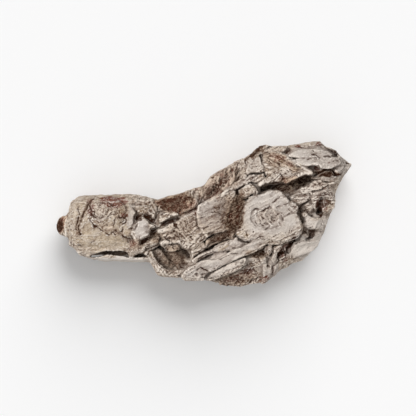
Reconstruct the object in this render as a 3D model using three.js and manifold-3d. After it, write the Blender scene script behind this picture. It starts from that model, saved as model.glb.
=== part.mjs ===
// An iron meteorite: one solid, a club-shaped lump of laminated, deeply weathered metal.
//
// A thick barrel with a nub on its end passes through a broken neck into a wide head. The metal has
// parted along its lamellae, so the upper side is a mosaic of plates, ridges and ledges that stand on
// a lower core, with open cracks between them. Millimetres, +Z up. X runs along the lump, from the nub
// to the tip of the head, and it lies on the flat of its underside at z = 0.
import * as THREE from "three";
import { mergeVertices } from "three/addons/utils/BufferGeometryUtils.js";
import Module from "manifold-3d";

// ---------------------------------------------------------------- driving dimensions

const CROWN = 17; // top of the core under the plates of the head
const WAIST = 9; // height at which the lump is widest
const FALL = 6; // how much lower the dome of the upper side is at the edge
const ROOT = 5; // plates of the upper side start this low, inside the core
const CHAMFER = 0.5; // worn edge of a plate
const OVERREACH = 60; // taller than the whole lump, for cutting shapes
const LONG_SIDE = 8; // a plate's side longer than this breaks in the middle
const BREAKS = 26; // flat breaks round the flank below the waist, low ones and high ones in turn
const LOW_BREAK = { z: 2.6, lean: 0.1 }; // lean is how far the plane tips in under the lump, in radians
const HIGH_BREAK = { z: 5.5, lean: 0.15 };
const BREAK_BOX = { along: 17, up: 10, out: 12 };
const WEAR = 0.16; // how far a plate's corner is worn away from where its outline has it

const BARREL = { y: -2.8, z: 10.9, flatness: 0.95, sides: 24 };
const NUB = { y: -3.9, z: 10.4, sides: 15 };
const BOSS = { x: -37.6, y: 1.2, z: 19.8, reach: [7.6, 5.8, 3.1] };

// Outer edge of the core, seen from above.
const EDGE = [
  [-58.4, -4], [-58, -2.2], [-56.8, -0.8], [-55.2, 0.2], [-54, 1.6], [-53.2, 4.2], [-52, 6],
  [-49.6, 6.8], [-45.6, 8], [-40, 8.5], [-35.2, 8.9], [-30.4, 8.9], [-25.6, 8.2], [-21.6, 7.4],
  [-18.4, 6.8], [-13.6, 8.4], [-8, 9.6], [-1.2, 11.8], [1.6, 13.8], [2.8, 16.2], [8, 19],
  [14, 22.6], [16.8, 23.8], [20.4, 26.6], [24, 28.3], [30.4, 28.2], [34.8, 28.7], [40.8, 29.7],
  [46.4, 30], [49.2, 28], [53.6, 25.4], [56, 23.4], [59, 20.4], [56.8, 17.2], [54.4, 13.2],
  [52.8, 9.6], [52, 4], [50, -1.2], [48, -6.8], [45.6, -12], [41.6, -16], [36, -18.8],
  [31.6, -21.2], [29.2, -23.2], [25.2, -26.8], [18.4, -28], [14.8, -29.4], [9.6, -28.6],
  [3.6, -26.8], [0, -25.5], [-6.4, -25.9], [-9.6, -24.4], [-17.6, -24], [-20, -20.8],
  [-21.6, -18.5], [-29.6, -18.3], [-40, -18.1], [-44.8, -17.4], [-50, -15.4], [-52.8, -12.9],
  [-55, -11.6], [-55, -8.8], [-57.6, -7.4]
];

// Line down the middle of the lump: the core narrows towards it above and below the waist.
const SPINE = [
  [-48, -3.5],
  [-12, -4],
  [16, 0],
  [45, 11],
];

// Rings of the core, from the underside up: height, and width as a share of the edge.
const RINGS = [
  [0, 0.66],
  [1.6, 0.82],
  [4.5, 0.94],
  [WAIST, 0.99],
  [13.5, 0.93],
  [16, 0.76],
  [CROWN, 0.5],
];

// Shallow pits in the underside: middle, half-lengths, and turn about Z in radians.
const PITS = [
  { x: -36, y: -11, reach: [13, 6, 2.6], turn: 0.3 },
  { x: -24, y: 1, reach: [11, 7, 3], turn: -0.5 },
  { x: -9, y: -11, reach: [12, 6.5, 2.8], turn: 0.6 },
  { x: 4, y: -1, reach: [13, 5.5, 3.4], turn: 0.1 },
  { x: 9, y: -17, reach: [9, 4.5, 2], turn: 0.5 },
  { x: 22, y: 8, reach: [12, 7, 3], turn: 0.9 },
  { x: 27, y: -9, reach: [11, 6, 2.6], turn: -0.6 },
  { x: 40, y: 2, reach: [8, 5, 2.2], turn: 1.2 },
  { x: 39, y: 17, reach: [10, 5, 2.4], turn: 0.2 },
];

// Places where the core itself is broken away under and between the plates, down to a sloping floor.
const CORE_BREAKS = [
  { name: "cell", floor: 8.5, outline: [
    [-21.2, -13.6], [-17.6, -11.2], [-14.4, -13.2], [-9.2, -12.4], [-6, -14], [-5.2, -16.8], [-6.4, -19.2],
    [-8.4, -21.6], [-11.2, -21.6], [-15.2, -21.2], [-18.4, -18.4]
  ] },
  { name: "crevice", floor: 10.5, outline: [
    [21.6, 11.2], [26.4, 12.8], [34.4, 13.2], [38.4, 15.6], [41.6, 16.4], [43.2, 15.2], [50.4, 18],
    [52.8, 15.6], [48.4, 16], [43.2, 13.6], [40.4, 11.6], [38.4, 11.2], [34.4, 8.4], [29.6, 10.4],
    [26.4, 10.8], [23.2, 9.6]
  ] },
  { name: "underStep", floor: 12, outline: [
    [8, -9.6], [13.2, -7], [16.5, 8.5], [14, 10], [11.6, 0], [7, -5.5], [2, -7.5], [-0.5, -13], [2, -14]
  ] },
  { name: "frontFlank", floor: 9.5, dip: [0.05, 0.85], outline: [
    [2.4, -25], [14.4, -20.4], [18.4, -17], [23.2, -15.6], [27.2, -20.4], [27.6, -30], [16, -34], [2, -30]
  ] },
];

// Plates, ridges and flakes of the upper side. lift is how far a plate stands above the dome that
// the lump's upper side follows, and dip tilts it: its rise per millimetre along X and along Y.
const UPPER_PLATES = [
  { name: "shoulder", lift: 2.5, dip: [0, 0], outline: [
    [-33.2, 8.6], [-29.6, 8.8], [-23.2, 8], [-20, 6.6], [-20.8, 5.4], [-25.2, 5.6], [-29.6, 5.2],
    [-32.8, 6]
  ] },
  { name: "collar", lift: 4, dip: [0, 0], outline: [
    [-32.8, 3.6], [-30.8, 4.6], [-28.4, 3.6], [-27, 1.6], [-28, -0.4], [-27.8, -2.8],
    [-29.2, -5.2], [-30.6, -2.4], [-30.4, 0.8]
  ] },
  { name: "ochreKnuckle", lift: 3, dip: [0, 0], outline: [
    [-26.4, 3], [-23.6, 4], [-20.4, 4.8], [-18.8, 4], [-19, 1.6], [-19.6, -0.8], [-21.6, 0],
    [-22.8, 0.6], [-25.2, 1], [-26.6, 2]
  ] },
  { name: "neckPlate", lift: 5, dip: [0, -0.1], outline: [
    [-24.4, 0], [-22.8, -1.6], [-21.2, -3.4], [-19, -4], [-20.8, -4.8], [-21.6, -6.4],
    [-21.6, -7.8], [-23.6, -8.4], [-25.4, -9.2], [-26, -10.8], [-27.8, -8.8], [-29, -6.4],
    [-28, -4.4], [-26.4, -2], [-25.6, -0.6]
  ] },
  { name: "strapUpper", lift: 3, dip: [0, 0], outline: [
    [-29.6, -14], [-26.8, -12.6], [-24.4, -11], [-22, -9.8], [-19.6, -8.8], [-17.6, -8.2],
    [-18, -10], [-20.8, -11.2], [-22.8, -12.8], [-23.6, -13.8], [-26.8, -14.4], [-28, -15.4],
    [-28.4, -16.8], [-29.8, -16.8]
  ] },
  { name: "cellRim", lift: 2, dip: [0, 0], outline: [
    [-23.6, -13.6], [-22, -14], [-20.8, -16], [-18.8, -18], [-16.8, -20.4], [-14.4, -22.8],
    [-10.4, -23], [-9.6, -24.4], [-16, -24.2], [-18.4, -23.6], [-19.6, -21.6], [-21, -19],
    [-22.4, -16.8]
  ] },
  { name: "cellSlope", lift: -3.5, dip: [-0.2, 0.1], outline: [
    [-21.2, -13.6], [-18.4, -12.8], [-16.4, -14], [-15.2, -16], [-13.6, -18.4], [-11.6, -20.4],
    [-13.2, -22], [-15.2, -21.6], [-17.6, -19.2], [-20, -16.8]
  ] },
  { name: "cellLump", lift: 2.5, dip: [0, 0], outline: [
    [-16, -12], [-14, -11.6], [-11.2, -11.8], [-9.2, -12], [-11.2, -13.4], [-13.6, -13.8],
    [-14.8, -13.2]
  ] },
  { name: "cellStrip", lift: 3, dip: [0, 0], outline: [
    [-17.6, -10], [-15.2, -9.8], [-12.8, -10.2], [-13.2, -11], [-16.4, -11.4]
  ] },
  { name: "hatchedPlate", lift: 4.5, dip: [0.02, -0.04], outline: [
    [-18.4, -5.4], [-15.6, -4.2], [-12, -2.8], [-9.2, -1.6], [-6.8, 0.4], [-2.8, 2.4],
    [-2.6, -0.8], [-1.8, -4.4], [-0.2, -7.2], [0.8, -8.8], [-1.6, -10.8], [-4.4, -13.2],
    [-7.2, -12.8], [-9.2, -10.8], [-12, -10], [-14, -9], [-16, -9.2], [-17.2, -7.2]
  ] },
  { name: "leafFold", lift: 3.5, dip: [0, 0], outline: [
    [-18, -1.6], [-17.6, 1.2], [-15.6, 2.2], [-13.2, 2], [-10.8, 1.8], [-10, 0.4], [-12.8, -0.4],
    [-15.6, -2], [-17.6, -3]
  ] },
  { name: "rustShoulder", lift: 2.5, dip: [0, -0.1], outline: [
    [-18.8, 5.6], [-16.4, 6.8], [-13.2, 8.2], [-8, 9.4], [-7.6, 6.4], [-8.4, 3.2], [-10.4, 2],
    [-14.4, 2.8], [-18, 3.2]
  ] },
  { name: "rustRidge", lift: 3, dip: [0, -0.1], outline: [
    [-7.2, 9.8], [-1.6, 11.6], [-0.4, 12], [0, 9.6], [-1.2, 6], [-2.8, 4.2], [-6.4, 2],
    [-8.8, 1.2], [-8, 5.2]
  ] },
  { name: "upperFlakeA", lift: 3, dip: [0, 0], outline: [
    [0.4, 12.6], [2.4, 15.8], [5.6, 17.8], [7.2, 16], [5.6, 13.6], [3.6, 11.6], [2.8, 9.2],
    [1.2, 7.2], [0, 9.6]
  ] },
  { name: "upperFlakeB", lift: 4, dip: [0, 0], outline: [
    [8, 13.6], [10, 16], [12, 18], [13.6, 20.4], [14.8, 21.2], [14.4, 19.2], [12.8, 16], [12, 14],
    [10.8, 12], [9.2, 10.4], [7.2, 10], [6.8, 11.6]
  ] },
  { name: "upperFlakeC", lift: 2.5, dip: [0, 0], outline: [
    [5.6, 17.8], [8, 19], [11.2, 20.6], [14, 22.4], [14.8, 21.2], [12.8, 19.2], [10, 17.2],
    [7.2, 16]
  ] },
  { name: "block", lift: 6.5, dip: [0, -0.04], outline: [
    [15.8, 22.8], [18.4, 23.2], [21.8, 24.2], [22.8, 22], [24, 17.8], [21.6, 17.6], [19.2, 17.4],
    [17.6, 16.6], [16, 15.2], [15.6, 19.2]
  ] },
  { name: "blockBand", lift: 5, dip: [0, 0], outline: [
    [14.4, 22.4], [15.6, 23], [15.8, 15.2], [14.4, 15.2]
  ] },
  { name: "blockTop", lift: 4.5, dip: [0, 0], outline: [
    [16.8, 23.4], [19.2, 24.6], [22, 25.4], [22.8, 24.8], [21.2, 24], [18.4, 23.2]
  ] },
  { name: "crest", lift: 2.5, dip: [0, 0], outline: [
    [20, 26.2], [22.4, 27.8], [24.4, 28.4], [26.4, 28.2], [25.2, 27.2], [23.2, 26.2], [20.8, 25.6]
  ] },
  { name: "sillA", lift: 6, dip: [0, -0.08], outline: [
    [10, 11.2], [12.4, 13], [14.8, 14.4], [17.2, 15.8], [18.8, 16.4], [21.2, 16.2], [23.6, 16.8],
    [24, 15.6], [23.2, 14.4], [21.2, 13.2], [19.2, 13.8], [16.8, 12.8], [14.4, 11.6], [12, 10.6],
    [10, 10], [7.2, 8.6], [8, 9.8]
  ] },
  { name: "sillB", lift: 5.5, dip: [0, 0], outline: [
    [13.6, 10.2], [16.4, 11.6], [18.4, 12.8], [20, 12.2], [21.2, 11], [21.6, 9.2], [20.4, 8.4],
    [19.2, 9.2], [18, 8], [16.4, 6.8], [14.8, 7.6]
  ] },
  { name: "bigPlate", lift: 6.3, dip: [-0.12, -0.03], outline: [
    [-2.6, 3.6], [-1.2, 4.8], [2.4, 6.4], [6.4, 8.2], [10, 10], [12.6, 10.2], [12.4, 8.4],
    [11.2, 4.6], [10, 1.2], [8.8, -2.4], [8, -5.4], [5.6, -6.4], [3.2, -7.2], [1, -8.6],
    [-0.4, -6.4], [-1.6, -4], [-2.4, -0.4]
  ] },
  { name: "bigSlope", lift: 3.8, dip: [-0.42, 0.05], outline: [
    [11.8, 9.4], [14, 8.4], [15.6, 6.6], [16.8, 6], [15.8, 2.6], [14.6, -0.6], [13.6, -3.6],
    [12.8, -7], [11.4, -9.2], [9, -8.6], [7.4, -5.8], [8.2, -2.4], [9.4, 1.2], [10.6, 4.6]
  ] },
  { name: "underPlate", lift: 3, dip: [0, 0], outline: [
    [1.2, -9.2], [4, -7.6], [7.2, -5.6], [9.6, -4.8], [11.2, -4], [12, -6], [11.6, -8], [9.6, -9],
    [6.4, -10.2], [3.2, -11.6], [1.2, -12.8], [0.4, -11.2]
  ] },
  { name: "wedge", lift: 3.8, dip: [0, 0], outline: [
    [-4.4, -12.8], [-3.2, -10.8], [-0.8, -9.6], [0.8, -12], [0.4, -13.2], [-2, -14.6],
    [-4.4, -16.4], [-5.2, -15.2]
  ] },
  { name: "hexPlate", lift: 7.7, dip: [0, 0], outline: [
    [18.2, 7.4], [20.8, 8.4], [23.6, 9], [26.4, 10.2], [28.8, 10.4], [30.8, 9.4], [33.2, 7.2],
    [34.2, 5.6], [33.6, 4.4], [35.2, 2.8], [36.6, 1.4], [38, -0.8], [39, -4], [38.8, -6.4],
    [37.2, -8.4], [34.4, -9.4], [30.8, -10], [26.4, -9.6], [23.2, -8.8], [19.2, -9.8],
    [16.4, -9.6], [14, -8.6], [13, -7], [13.6, -3.6], [15.2, 1.2], [16.8, 4.8]
  ] },
  { name: "hexRoot", lift: 6.8, dip: [0, 0], outline: [
    [22, -9.4], [24.4, -8.4], [28, -9], [31.6, -9.2], [33.6, -9.8], [31, -10.8], [27.2, -11.2],
    [24, -10.6]
  ] },
  { name: "hexCorner", lift: 7, dip: [0, 0], outline: [
    [34.4, 6.2], [36, 5.6], [37.6, 3.8], [37.2, 1.8], [35.6, 1.4], [33.6, 2.4], [33.2, 3.8],
    [34, 4.8]
  ] },
  { name: "hexLobe", lift: 8.4, dip: [0, 0], outline: [
    [31.6, -0.4], [35.2, 1], [36.8, 1], [38, -0.8], [39, -4], [38.8, -6.4], [37.2, -8.4],
    [34.4, -9.4], [30.8, -9.8], [26.4, -9.2], [23.2, -8.2], [23.2, -5.4], [26.4, -5], [29.2, -3.6],
    [31.2, -2]
  ] },
  { name: "ridgeUpper", lift: 5.2, dip: [0, 0], outline: [
    [-4.8, -18], [-2.4, -15.8], [1.2, -14], [6.4, -11.6], [11.2, -9.6], [13, -8.2], [14, -9.4],
    [15.6, -10.4], [17.2, -10.6], [14.8, -11.8], [11.6, -13], [8.8, -13.8], [5.2, -14.2],
    [1.6, -15.2], [-1.6, -17.2], [-4, -18.8]
  ] },
  { name: "ridgeShim", lift: 4.2, dip: [0, 0], outline: [
    [3.2, -15.4], [7.2, -14], [9.6, -14.4], [8, -16], [5.2, -16.6], [2.4, -16.4]
  ] },
  { name: "ridgeMain", lift: 6.6, dip: [0, 0], outline: [
    [-9.2, -24.4], [-7.6, -21.8], [-5.6, -20], [-2.8, -18.6], [0.8, -17.2], [4.8, -17],
    [8.4, -15.2], [11.6, -13.6], [15.6, -12], [19.2, -10], [21.6, -9], [24, -8.8], [26.4, -9.8],
    [24.8, -10.8], [23.2, -13], [18.8, -14.8], [14.4, -16.4], [10.4, -18.2], [7.6, -19.4],
    [4.8, -21.2], [1.6, -22.2], [0, -24], [0, -25.4], [-3.6, -25.6], [-7.2, -25.8]
  ] },
  { name: "ridgeLower", lift: 5, dip: [0, 0], outline: [
    [1.2, -25.4], [2.8, -23], [5.6, -21.4], [8, -20], [10.8, -18.6], [14.4, -17], [16.8, -16.2],
    [16.8, -18], [15.2, -20], [12.8, -21.6], [9.6, -23], [5.6, -24.4], [2.4, -25.6]
  ] },
  { name: "chipA", lift: 3.5, dip: [0, 0], outline: [
    [22, -16.4], [24.8, -15.8], [25.6, -16.8], [24.8, -18.6], [22.8, -18.4]
  ] },
  { name: "chipB", lift: 5.5, dip: [0, 0], outline: [
    [24.4, -12], [26.8, -11.4], [27.2, -13.2], [26.4, -14.8], [25.6, -15.6], [24.4, -14]
  ] },
  { name: "chipC", lift: 4.5, dip: [0, 0], outline: [
    [27.6, -12.2], [30.4, -11], [31.2, -13.6], [29.2, -14], [28.8, -16], [29.6, -17.6],
    [28, -18.8], [26.8, -17.2], [27.2, -15.2]
  ] },
  { name: "chipD", lift: 2, dip: [0, 0], outline: [
    [23.2, -19.2], [25.2, -18.4], [27.2, -20], [27.6, -21.6], [26.4, -24.4], [24.8, -26.6],
    [23.2, -27.2], [23.6, -24]
  ] },
  { name: "chipE", lift: 2, dip: [0, 0], outline: [
    [28.4, -18.8], [30, -18], [30.4, -20.4], [29.6, -22.4], [28, -24.4], [27.2, -22.4]
  ] },
  { name: "lobe", lift: 3.5, dip: [0, 0], outline: [
    [36, -10.4], [38.8, -9.8], [43.2, -9.8], [46.4, -9.8], [45.6, -12], [43.2, -14], [40, -15.4],
    [36.8, -16.4], [34.4, -17.2], [34.2, -14.8], [35, -12.4]
  ] },
  { name: "lobeEdge", lift: 1, dip: [0, 0], outline: [
    [34, -17.6], [38.4, -16.6], [42, -15.4], [39.2, -17.6], [35.2, -19], [33.6, -20.2], [32, -21],
    [32, -18.4]
  ] },
  { name: "lobeRust", lift: 2, dip: [0, 0], outline: [
    [30, -16.8], [32, -15.4], [33.8, -15.2], [33.6, -17.6], [32, -19.2], [30.8, -21], [30, -19.6]
  ] },
  { name: "eastA", lift: 4, dip: [0, 0], outline: [
    [39.2, -3.2], [40.8, -0.8], [43.2, -0.2], [45.6, -0.4], [49.6, 0.4], [48.8, -3.2], [47.2, -6],
    [44.4, -5.2], [42, -5.2], [40.4, -4.4]
  ] },
  { name: "eastB", lift: 3.5, dip: [0, 0], outline: [
    [39.2, -6.8], [40.8, -6], [42, -8], [40.8, -9.6], [38.4, -9.4], [38, -8.2]
  ] },
  { name: "eastC", lift: 3, dip: [0, 0], outline: [
    [42.8, -9.2], [44.8, -7.2], [47.2, -6.4], [46.8, -9.2]
  ] },
  { name: "eastD", lift: 4.5, dip: [0, 0], outline: [
    [42.8, 9.2], [46.4, 10.2], [50.4, 10.4], [52.4, 10], [52.4, 6.4], [52, 4], [50.8, 1.6],
    [50, 0.6], [48, 2], [50.4, 4], [50.4, 7.2], [48.8, 7.8], [46.4, 7.4], [45.6, 5.2], [44.4, 2.4],
    [43.6, 4.4], [42.8, 6.4]
  ] },
  { name: "eastE", lift: 3, dip: [0, 0], outline: [
    [34.8, 7.6], [38.4, 8.8], [41.6, 9.6], [42.8, 8], [42, 6.4], [39.6, 5.2], [37.6, 4.8], [36, 6],
    [34.4, 6.8]
  ] },
  { name: "eastF", lift: 4.5, dip: [0, 0], outline: [
    [38.8, 11.8], [40.8, 11.6], [43.2, 13.6], [46.4, 14.4], [49.2, 12.8], [52, 14], [53.6, 14.4],
    [53.2, 11.2], [52, 10.4], [47.2, 11], [43.2, 10.2], [39.6, 8.8], [38.8, 10.4]
  ] },
  { name: "eastG", lift: 3, dip: [0, 0], outline: [
    [42.8, 15.2], [45.6, 16.4], [48.4, 18], [50.8, 18], [52, 16.4], [54, 15.6], [53.6, 14.4],
    [49.6, 13.6], [45.6, 14.4]
  ] },
  { name: "eastH", lift: 4, dip: [0, 0], outline: [
    [38.4, 1.2], [40.4, 2], [42, 0], [40.8, -1], [39.2, -0.6]
  ] },
  { name: "eastI", lift: 4.5, dip: [0, 0], outline: [
    [39.6, 4.4], [42, 5.6], [43.6, 4], [42.8, 1.6], [41.2, 2.8]
  ] },
  { name: "crossBase", lift: 5.5, dip: [0, 0], outline: [
    [23.6, 24], [27.2, 26], [30.8, 25.2], [33.2, 23.6], [36.8, 22], [40.4, 20], [42.8, 18.4],
    [42.8, 16.4], [40.8, 17], [37.6, 16], [34.8, 14.4], [32.4, 13.4], [28.4, 13.6], [24.8, 12.8],
    [22, 11.6], [21.2, 12.6], [23.2, 14], [25.6, 15.6], [24.4, 17.6], [23.2, 21.2]
  ] },
  { name: "crossA", lift: 6.5, dip: [0, 0], outline: [
    [24, 23.2], [26.4, 22.2], [29.6, 20.4], [30.8, 19.6], [28.8, 18.8], [25.6, 18.6], [24.4, 20],
    [23.2, 22.4]
  ] },
  { name: "crossB", lift: 6.8, dip: [0, 0], outline: [
    [25.6, 15.8], [27.2, 16.8], [30, 16.8], [31.2, 15.6], [30.8, 14], [27.2, 13.8], [23.2, 12.6],
    [21.6, 12], [23.2, 13.8]
  ] },
  { name: "crossLip", lift: 7.2, dip: [0, 0], outline: [
    [31.6, 14.4], [34.4, 15.6], [37.6, 17.2], [40.8, 18.4], [42.8, 18.2], [42.8, 16.2], [40.8, 17],
    [37.6, 15.8], [34.8, 14.2], [32, 13]
  ] },
  { name: "crossC", lift: 6.7, dip: [0, 0], outline: [
    [29.6, 25.6], [31.6, 24.4], [35.2, 22], [38.8, 20], [37.6, 19.4], [34, 21.2], [30.4, 23.2]
  ] },
  { name: "topEdge", lift: 4, dip: [0, 0], outline: [
    [26.4, 27.6], [30.4, 28], [33.2, 28], [32.8, 26], [30, 25.4], [26.4, 25.6], [24, 25.8]
  ] },
  { name: "brow", lift: 6.5, dip: [0, -0.08], outline: [
    [33.6, 23.8], [35.6, 25.8], [39.2, 26.6], [44.4, 26.6], [49.6, 26.2], [51.2, 24.4],
    [50.4, 23.6], [44, 23.4], [38.4, 23]
  ] },
  { name: "browLower", lift: 7, dip: [0, 0], outline: [
    [35.2, 22.4], [38.4, 22.8], [44.4, 23.2], [51.2, 23.4], [53.6, 23], [54.4, 21.2], [52.8, 19.8],
    [50.4, 19], [46.4, 19], [44, 20.4], [40.8, 19.6], [37.6, 20.8]
  ] },
  { name: "eaves", lift: 2, dip: [0, 0], outline: [
    [34.4, 27.6], [37.6, 28.8], [40.8, 29.4], [43.2, 29.8], [46.4, 30], [47.2, 28.8], [45.6, 28],
    [40.4, 27.4], [36.4, 27.2]
  ] },
  { name: "hook", lift: 4, dip: [0, 0], outline: [
    [47.6, 27.8], [50, 27.6], [52.4, 26.4], [54, 24.8], [55.2, 22.4], [55.6, 19.6], [54.4, 17.6],
    [53.6, 15.8], [52, 17.6], [51.6, 19], [53.6, 20], [54.4, 22], [53.6, 24], [51.6, 26]
  ] },
  { name: "tip", lift: 1, dip: [-0.1, 0], outline: [
    [55.6, 23.2], [57.6, 21.8], [59, 20.4], [57.6, 18.4], [56, 16.4], [54.8, 14.6], [54, 15.6],
    [55.6, 18.4]
  ] },
];

// Hollows that open upwards between the plates, down to their floor.
const HOLLOWS = [
  { name: "slit", floor: 5, outline: [
    [-46.4, -16.4], [-44.4, -15.2], [-41.6, -14.2], [-38.4, -13.6], [-34.4, -13.6], [-30.8, -13.8],
    [-30, -15.2], [-29.6, -16.8], [-32, -16], [-35.2, -15.8], [-38.4, -15.4], [-40.8, -16],
    [-43.6, -16.6]
  ] },
  { name: "keyhole", floor: 8, outline: [
    [-28, -15.6], [-26.4, -14.8], [-24, -14.4], [-22.4, -16.4], [-25.6, -16.6], [-28, -16.6]
  ] },
  { name: "cellPit", floor: 9, outline: [
    [-11.2, -14], [-8.8, -12.4], [-6.4, -13.6], [-5.2, -15.2], [-6.8, -17.2], [-6.4, -18.8],
    [-8, -21.2], [-10.8, -20.8], [-12.4, -18.4]
  ] },
  { name: "crater", floor: 23.6, outline: [
    [19.2, 2.4], [20.8, 3.4], [23.2, 2.8], [24, 3.6], [26.8, 3.8], [28, 2.4], [30.4, 2],
    [31.6, 0.4], [31.2, -1.2], [29.6, -2.6], [28, -4], [25.6, -4.8], [23.2, -4.4], [20.8, -3.6],
    [18.8, -2.4], [18.4, 0]
  ] },
  { name: "craterGate", floor: 23.9, outline: [
    [28.4, 3.6], [33.6, 4.4], [34.8, 2.8], [35.6, 1.2], [31.6, -0.2], [30, 1.2]
  ] },
  { name: "eyePit", floor: 12, outline: [
    [46.4, 7.2], [48.8, 7.8], [50.4, 7.2], [50.4, 4], [48, 2.4], [46, 0.6], [44.6, 1.6], [45.6, 4.8]
  ] },
  { name: "vent", floor: 9, outline: [
    [32.8, -13.6], [34, -11.2], [35.2, -9.6], [36, -10.4], [34.8, -12.8], [34.4, -14.8],
    [32.8, -14.8]
  ] },
  { name: "ventSmall", floor: 11, outline: [
    [28.8, -14.4], [30, -13.6], [31.2, -14.4], [30.8, -16], [29.6, -16.4]
  ] },
];

// ---------------------------------------------------------------- solids

const wasm = await Module();
wasm.setup();

function solidOf(geometry) {
  const bare = new THREE.BufferGeometry();
  const source = geometry.index ? geometry.toNonIndexed() : geometry;
  bare.setAttribute("position", source.getAttribute("position").clone());
  const merged = mergeVertices(bare, 1e-4);
  return new wasm.Manifold(
    new wasm.Mesh({
      numProp: 3,
      vertProperties: merged.attributes.position.array,
      triVerts: new Uint32Array(merged.index.array),
    }),
  );
}

function geometryOf(solid) {
  const mesh = solid.getMesh();
  return new THREE.BufferGeometry()
    .setAttribute("position", new THREE.BufferAttribute(mesh.vertProperties, 3))
    .setIndex(new THREE.BufferAttribute(mesh.triVerts, 1));
}

function movePoints(geometry, place) {
  const position = geometry.getAttribute("position");
  const point = new THREE.Vector3();
  for (let i = 0; i < position.count; i++) {
    point.fromBufferAttribute(position, i);
    place(point);
    position.setXYZ(i, point.x, point.y, point.z);
  }
  return geometry;
}

const shapeOf = (outline) => new THREE.Shape(outline.map(([x, y]) => new THREE.Vector2(x, y)));

function middleOf(outline) {
  const sum = outline.reduce(([a, b], [x, y]) => [a + x, b + y], [0, 0]);
  return sum.map((value) => value / outline.length);
}

// The outline moved inwards by a distance, corner by corner. Outlines run clockwise or anticlockwise.
function insetOf(outline, distance) {
  const turn = THREE.ShapeUtils.area(outline.map(([x, y]) => ({ x, y }))) > 0 ? 1 : -1;
  const inward = (a, b) => {
    const length = Math.hypot(b[0] - a[0], b[1] - a[1]);
    return [(-turn * (b[1] - a[1])) / length, (turn * (b[0] - a[0])) / length];
  };
  return outline.map((corner, i) => {
    const before = outline.at(i - 1);
    const after = outline[(i + 1) % outline.length];
    const [ax, ay] = inward(before, corner);
    const [bx, by] = inward(corner, after);
    const share = distance / Math.max(1 + ax * bx + ay * by, 0.6);
    return [corner[0] + (ax + bx) * share, corner[1] + (ay + by) * share];
  });
}

// Repeatable numbers from -1 to 1, different for each seed.
function numbersFrom(seed) {
  let state = seed * 2654435761;
  return () => {
    state = (Math.imul(state ^ (state >>> 15), 2246822519) + 1013904223) >>> 0;
    return state / 2 ** 31 - 1;
  };
}

// The outline with worn corners, and a crooked break in the middle of each long side.
function wornOutline(outline, seed) {
  const next = numbersFrom(seed);
  return outline.flatMap(([x, y], i) => {
    const [toX, toY] = outline[(i + 1) % outline.length];
    const corner = [x + WEAR * next(), y + WEAR * next()];
    if (Math.hypot(toX - x, toY - y) < LONG_SIDE) return [corner];
    return [corner, [(x + toX) / 2 + 2 * WEAR * next(), (y + toY) / 2 + 2 * WEAR * next()]];
  });
}

// A plate with chamfered edges, between two heights that are functions of x and y.
function plateSolid({ outline, low, high, chamfer = CHAMFER }) {
  const geometry = new THREE.ExtrudeGeometry(shapeOf(outline), { depth: 3, steps: 3, bevelEnabled: false });
  const inset = insetOf(outline, chamfer);
  movePoints(geometry, (p) => {
    const ring = Math.round(p.z);
    const bottom = low(p.x, p.y);
    const top = high(p.x, p.y);
    p.z = [bottom, bottom + chamfer, top - chamfer, top][ring];
    if (ring === 0 || ring === 3) {
      const corner = outline.findIndex(([x, y]) => Math.hypot(x - p.x, y - p.y) < 1e-3);
      [p.x, p.y] = inset[corner];
    }
  });
  return solidOf(geometry);
}

// A plane's height: level in the middle of the outline, rising by dip per millimetre along X and Y.
function planeOver(outline, level, [dipX, dipY]) {
  const [cx, cy] = middleOf(outline);
  return (x, y) => level + (x - cx) * dipX + (y - cy) * dipY;
}

function spineAt(x) {
  const inside = Math.min(Math.max(x, SPINE[0][0]), SPINE.at(-1)[0]);
  const next = Math.max(1, SPINE.findIndex(([sx]) => sx >= inside));
  const [x0, y0] = SPINE[next - 1];
  const [x1, y1] = SPINE[next];
  return [inside, y0 + ((y1 - y0) * (inside - x0)) / (x1 - x0)];
}

function drawnIn([x, y], share) {
  const [sx, sy] = spineAt(x);
  return [sx + (x - sx) * share, sy + (y - sy) * share];
}

// How far a place is from the spine, as a share of the way to the edge.
function shareAt(x, y) {
  const [sx, sy] = spineAt(x);
  const [dx, dy] = [x - sx, y - sy];
  let reach = Infinity;
  EDGE.forEach(([ax, ay], i) => {
    const [bx, by] = EDGE[(i + 1) % EDGE.length];
    const [ex, ey] = [bx - ax, by - ay];
    const cross = dx * ey - dy * ex;
    const along = ((ax - sx) * ey - (ay - sy) * ex) / cross;
    const across = ((ax - sx) * dy - (ay - sy) * dx) / cross;
    if (along > 0 && across >= 0 && across <= 1) reach = Math.min(reach, along);
  });
  return 1 / reach;
}

const domeAt = (x, y) => CROWN - FALL * shareAt(x, y) ** 3;

// The core: the edge's outline carried up through the rings.
function coreSolid() {
  const steps = RINGS.length - 1;
  const geometry = new THREE.ExtrudeGeometry(shapeOf(EDGE), { depth: steps, steps, bevelEnabled: false });
  movePoints(geometry, (p) => {
    const [z, share] = RINGS[Math.round(p.z)];
    const [x, y] = drawnIn([p.x, p.y], share);
    p.set(x, y, z);
  });
  return solidOf(geometry);
}

// A solid turned about an axis along X. The profile is [x, radius] pairs that start and end on the axis.
function turnedSolid(profile, { y, z, flatness = 1, sides }) {
  const points = profile.map(([x, radius]) => new THREE.Vector2(radius, x));
  const geometry = new THREE.LatheGeometry(points, sides);
  geometry.rotateZ(-Math.PI / 2).scale(1, 1, flatness).translate(0, y, z);
  return solidOf(geometry);
}

const barrelSolid = () =>
  turnedSolid(
    [
      [-54.7, 0],
      [-54.7, 6],
      [-54, 8.3],
      [-53.1, 9.4],
      [-52.6, 9.2],
      [-51.8, 10.1],
      [-50, 10.8],
      [-44, 11.3],
      [-36, 11.2],
      [-30, 10.5],
      [-27, 9],
      [-26, 0],
    ],
    BARREL,
  );

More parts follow.
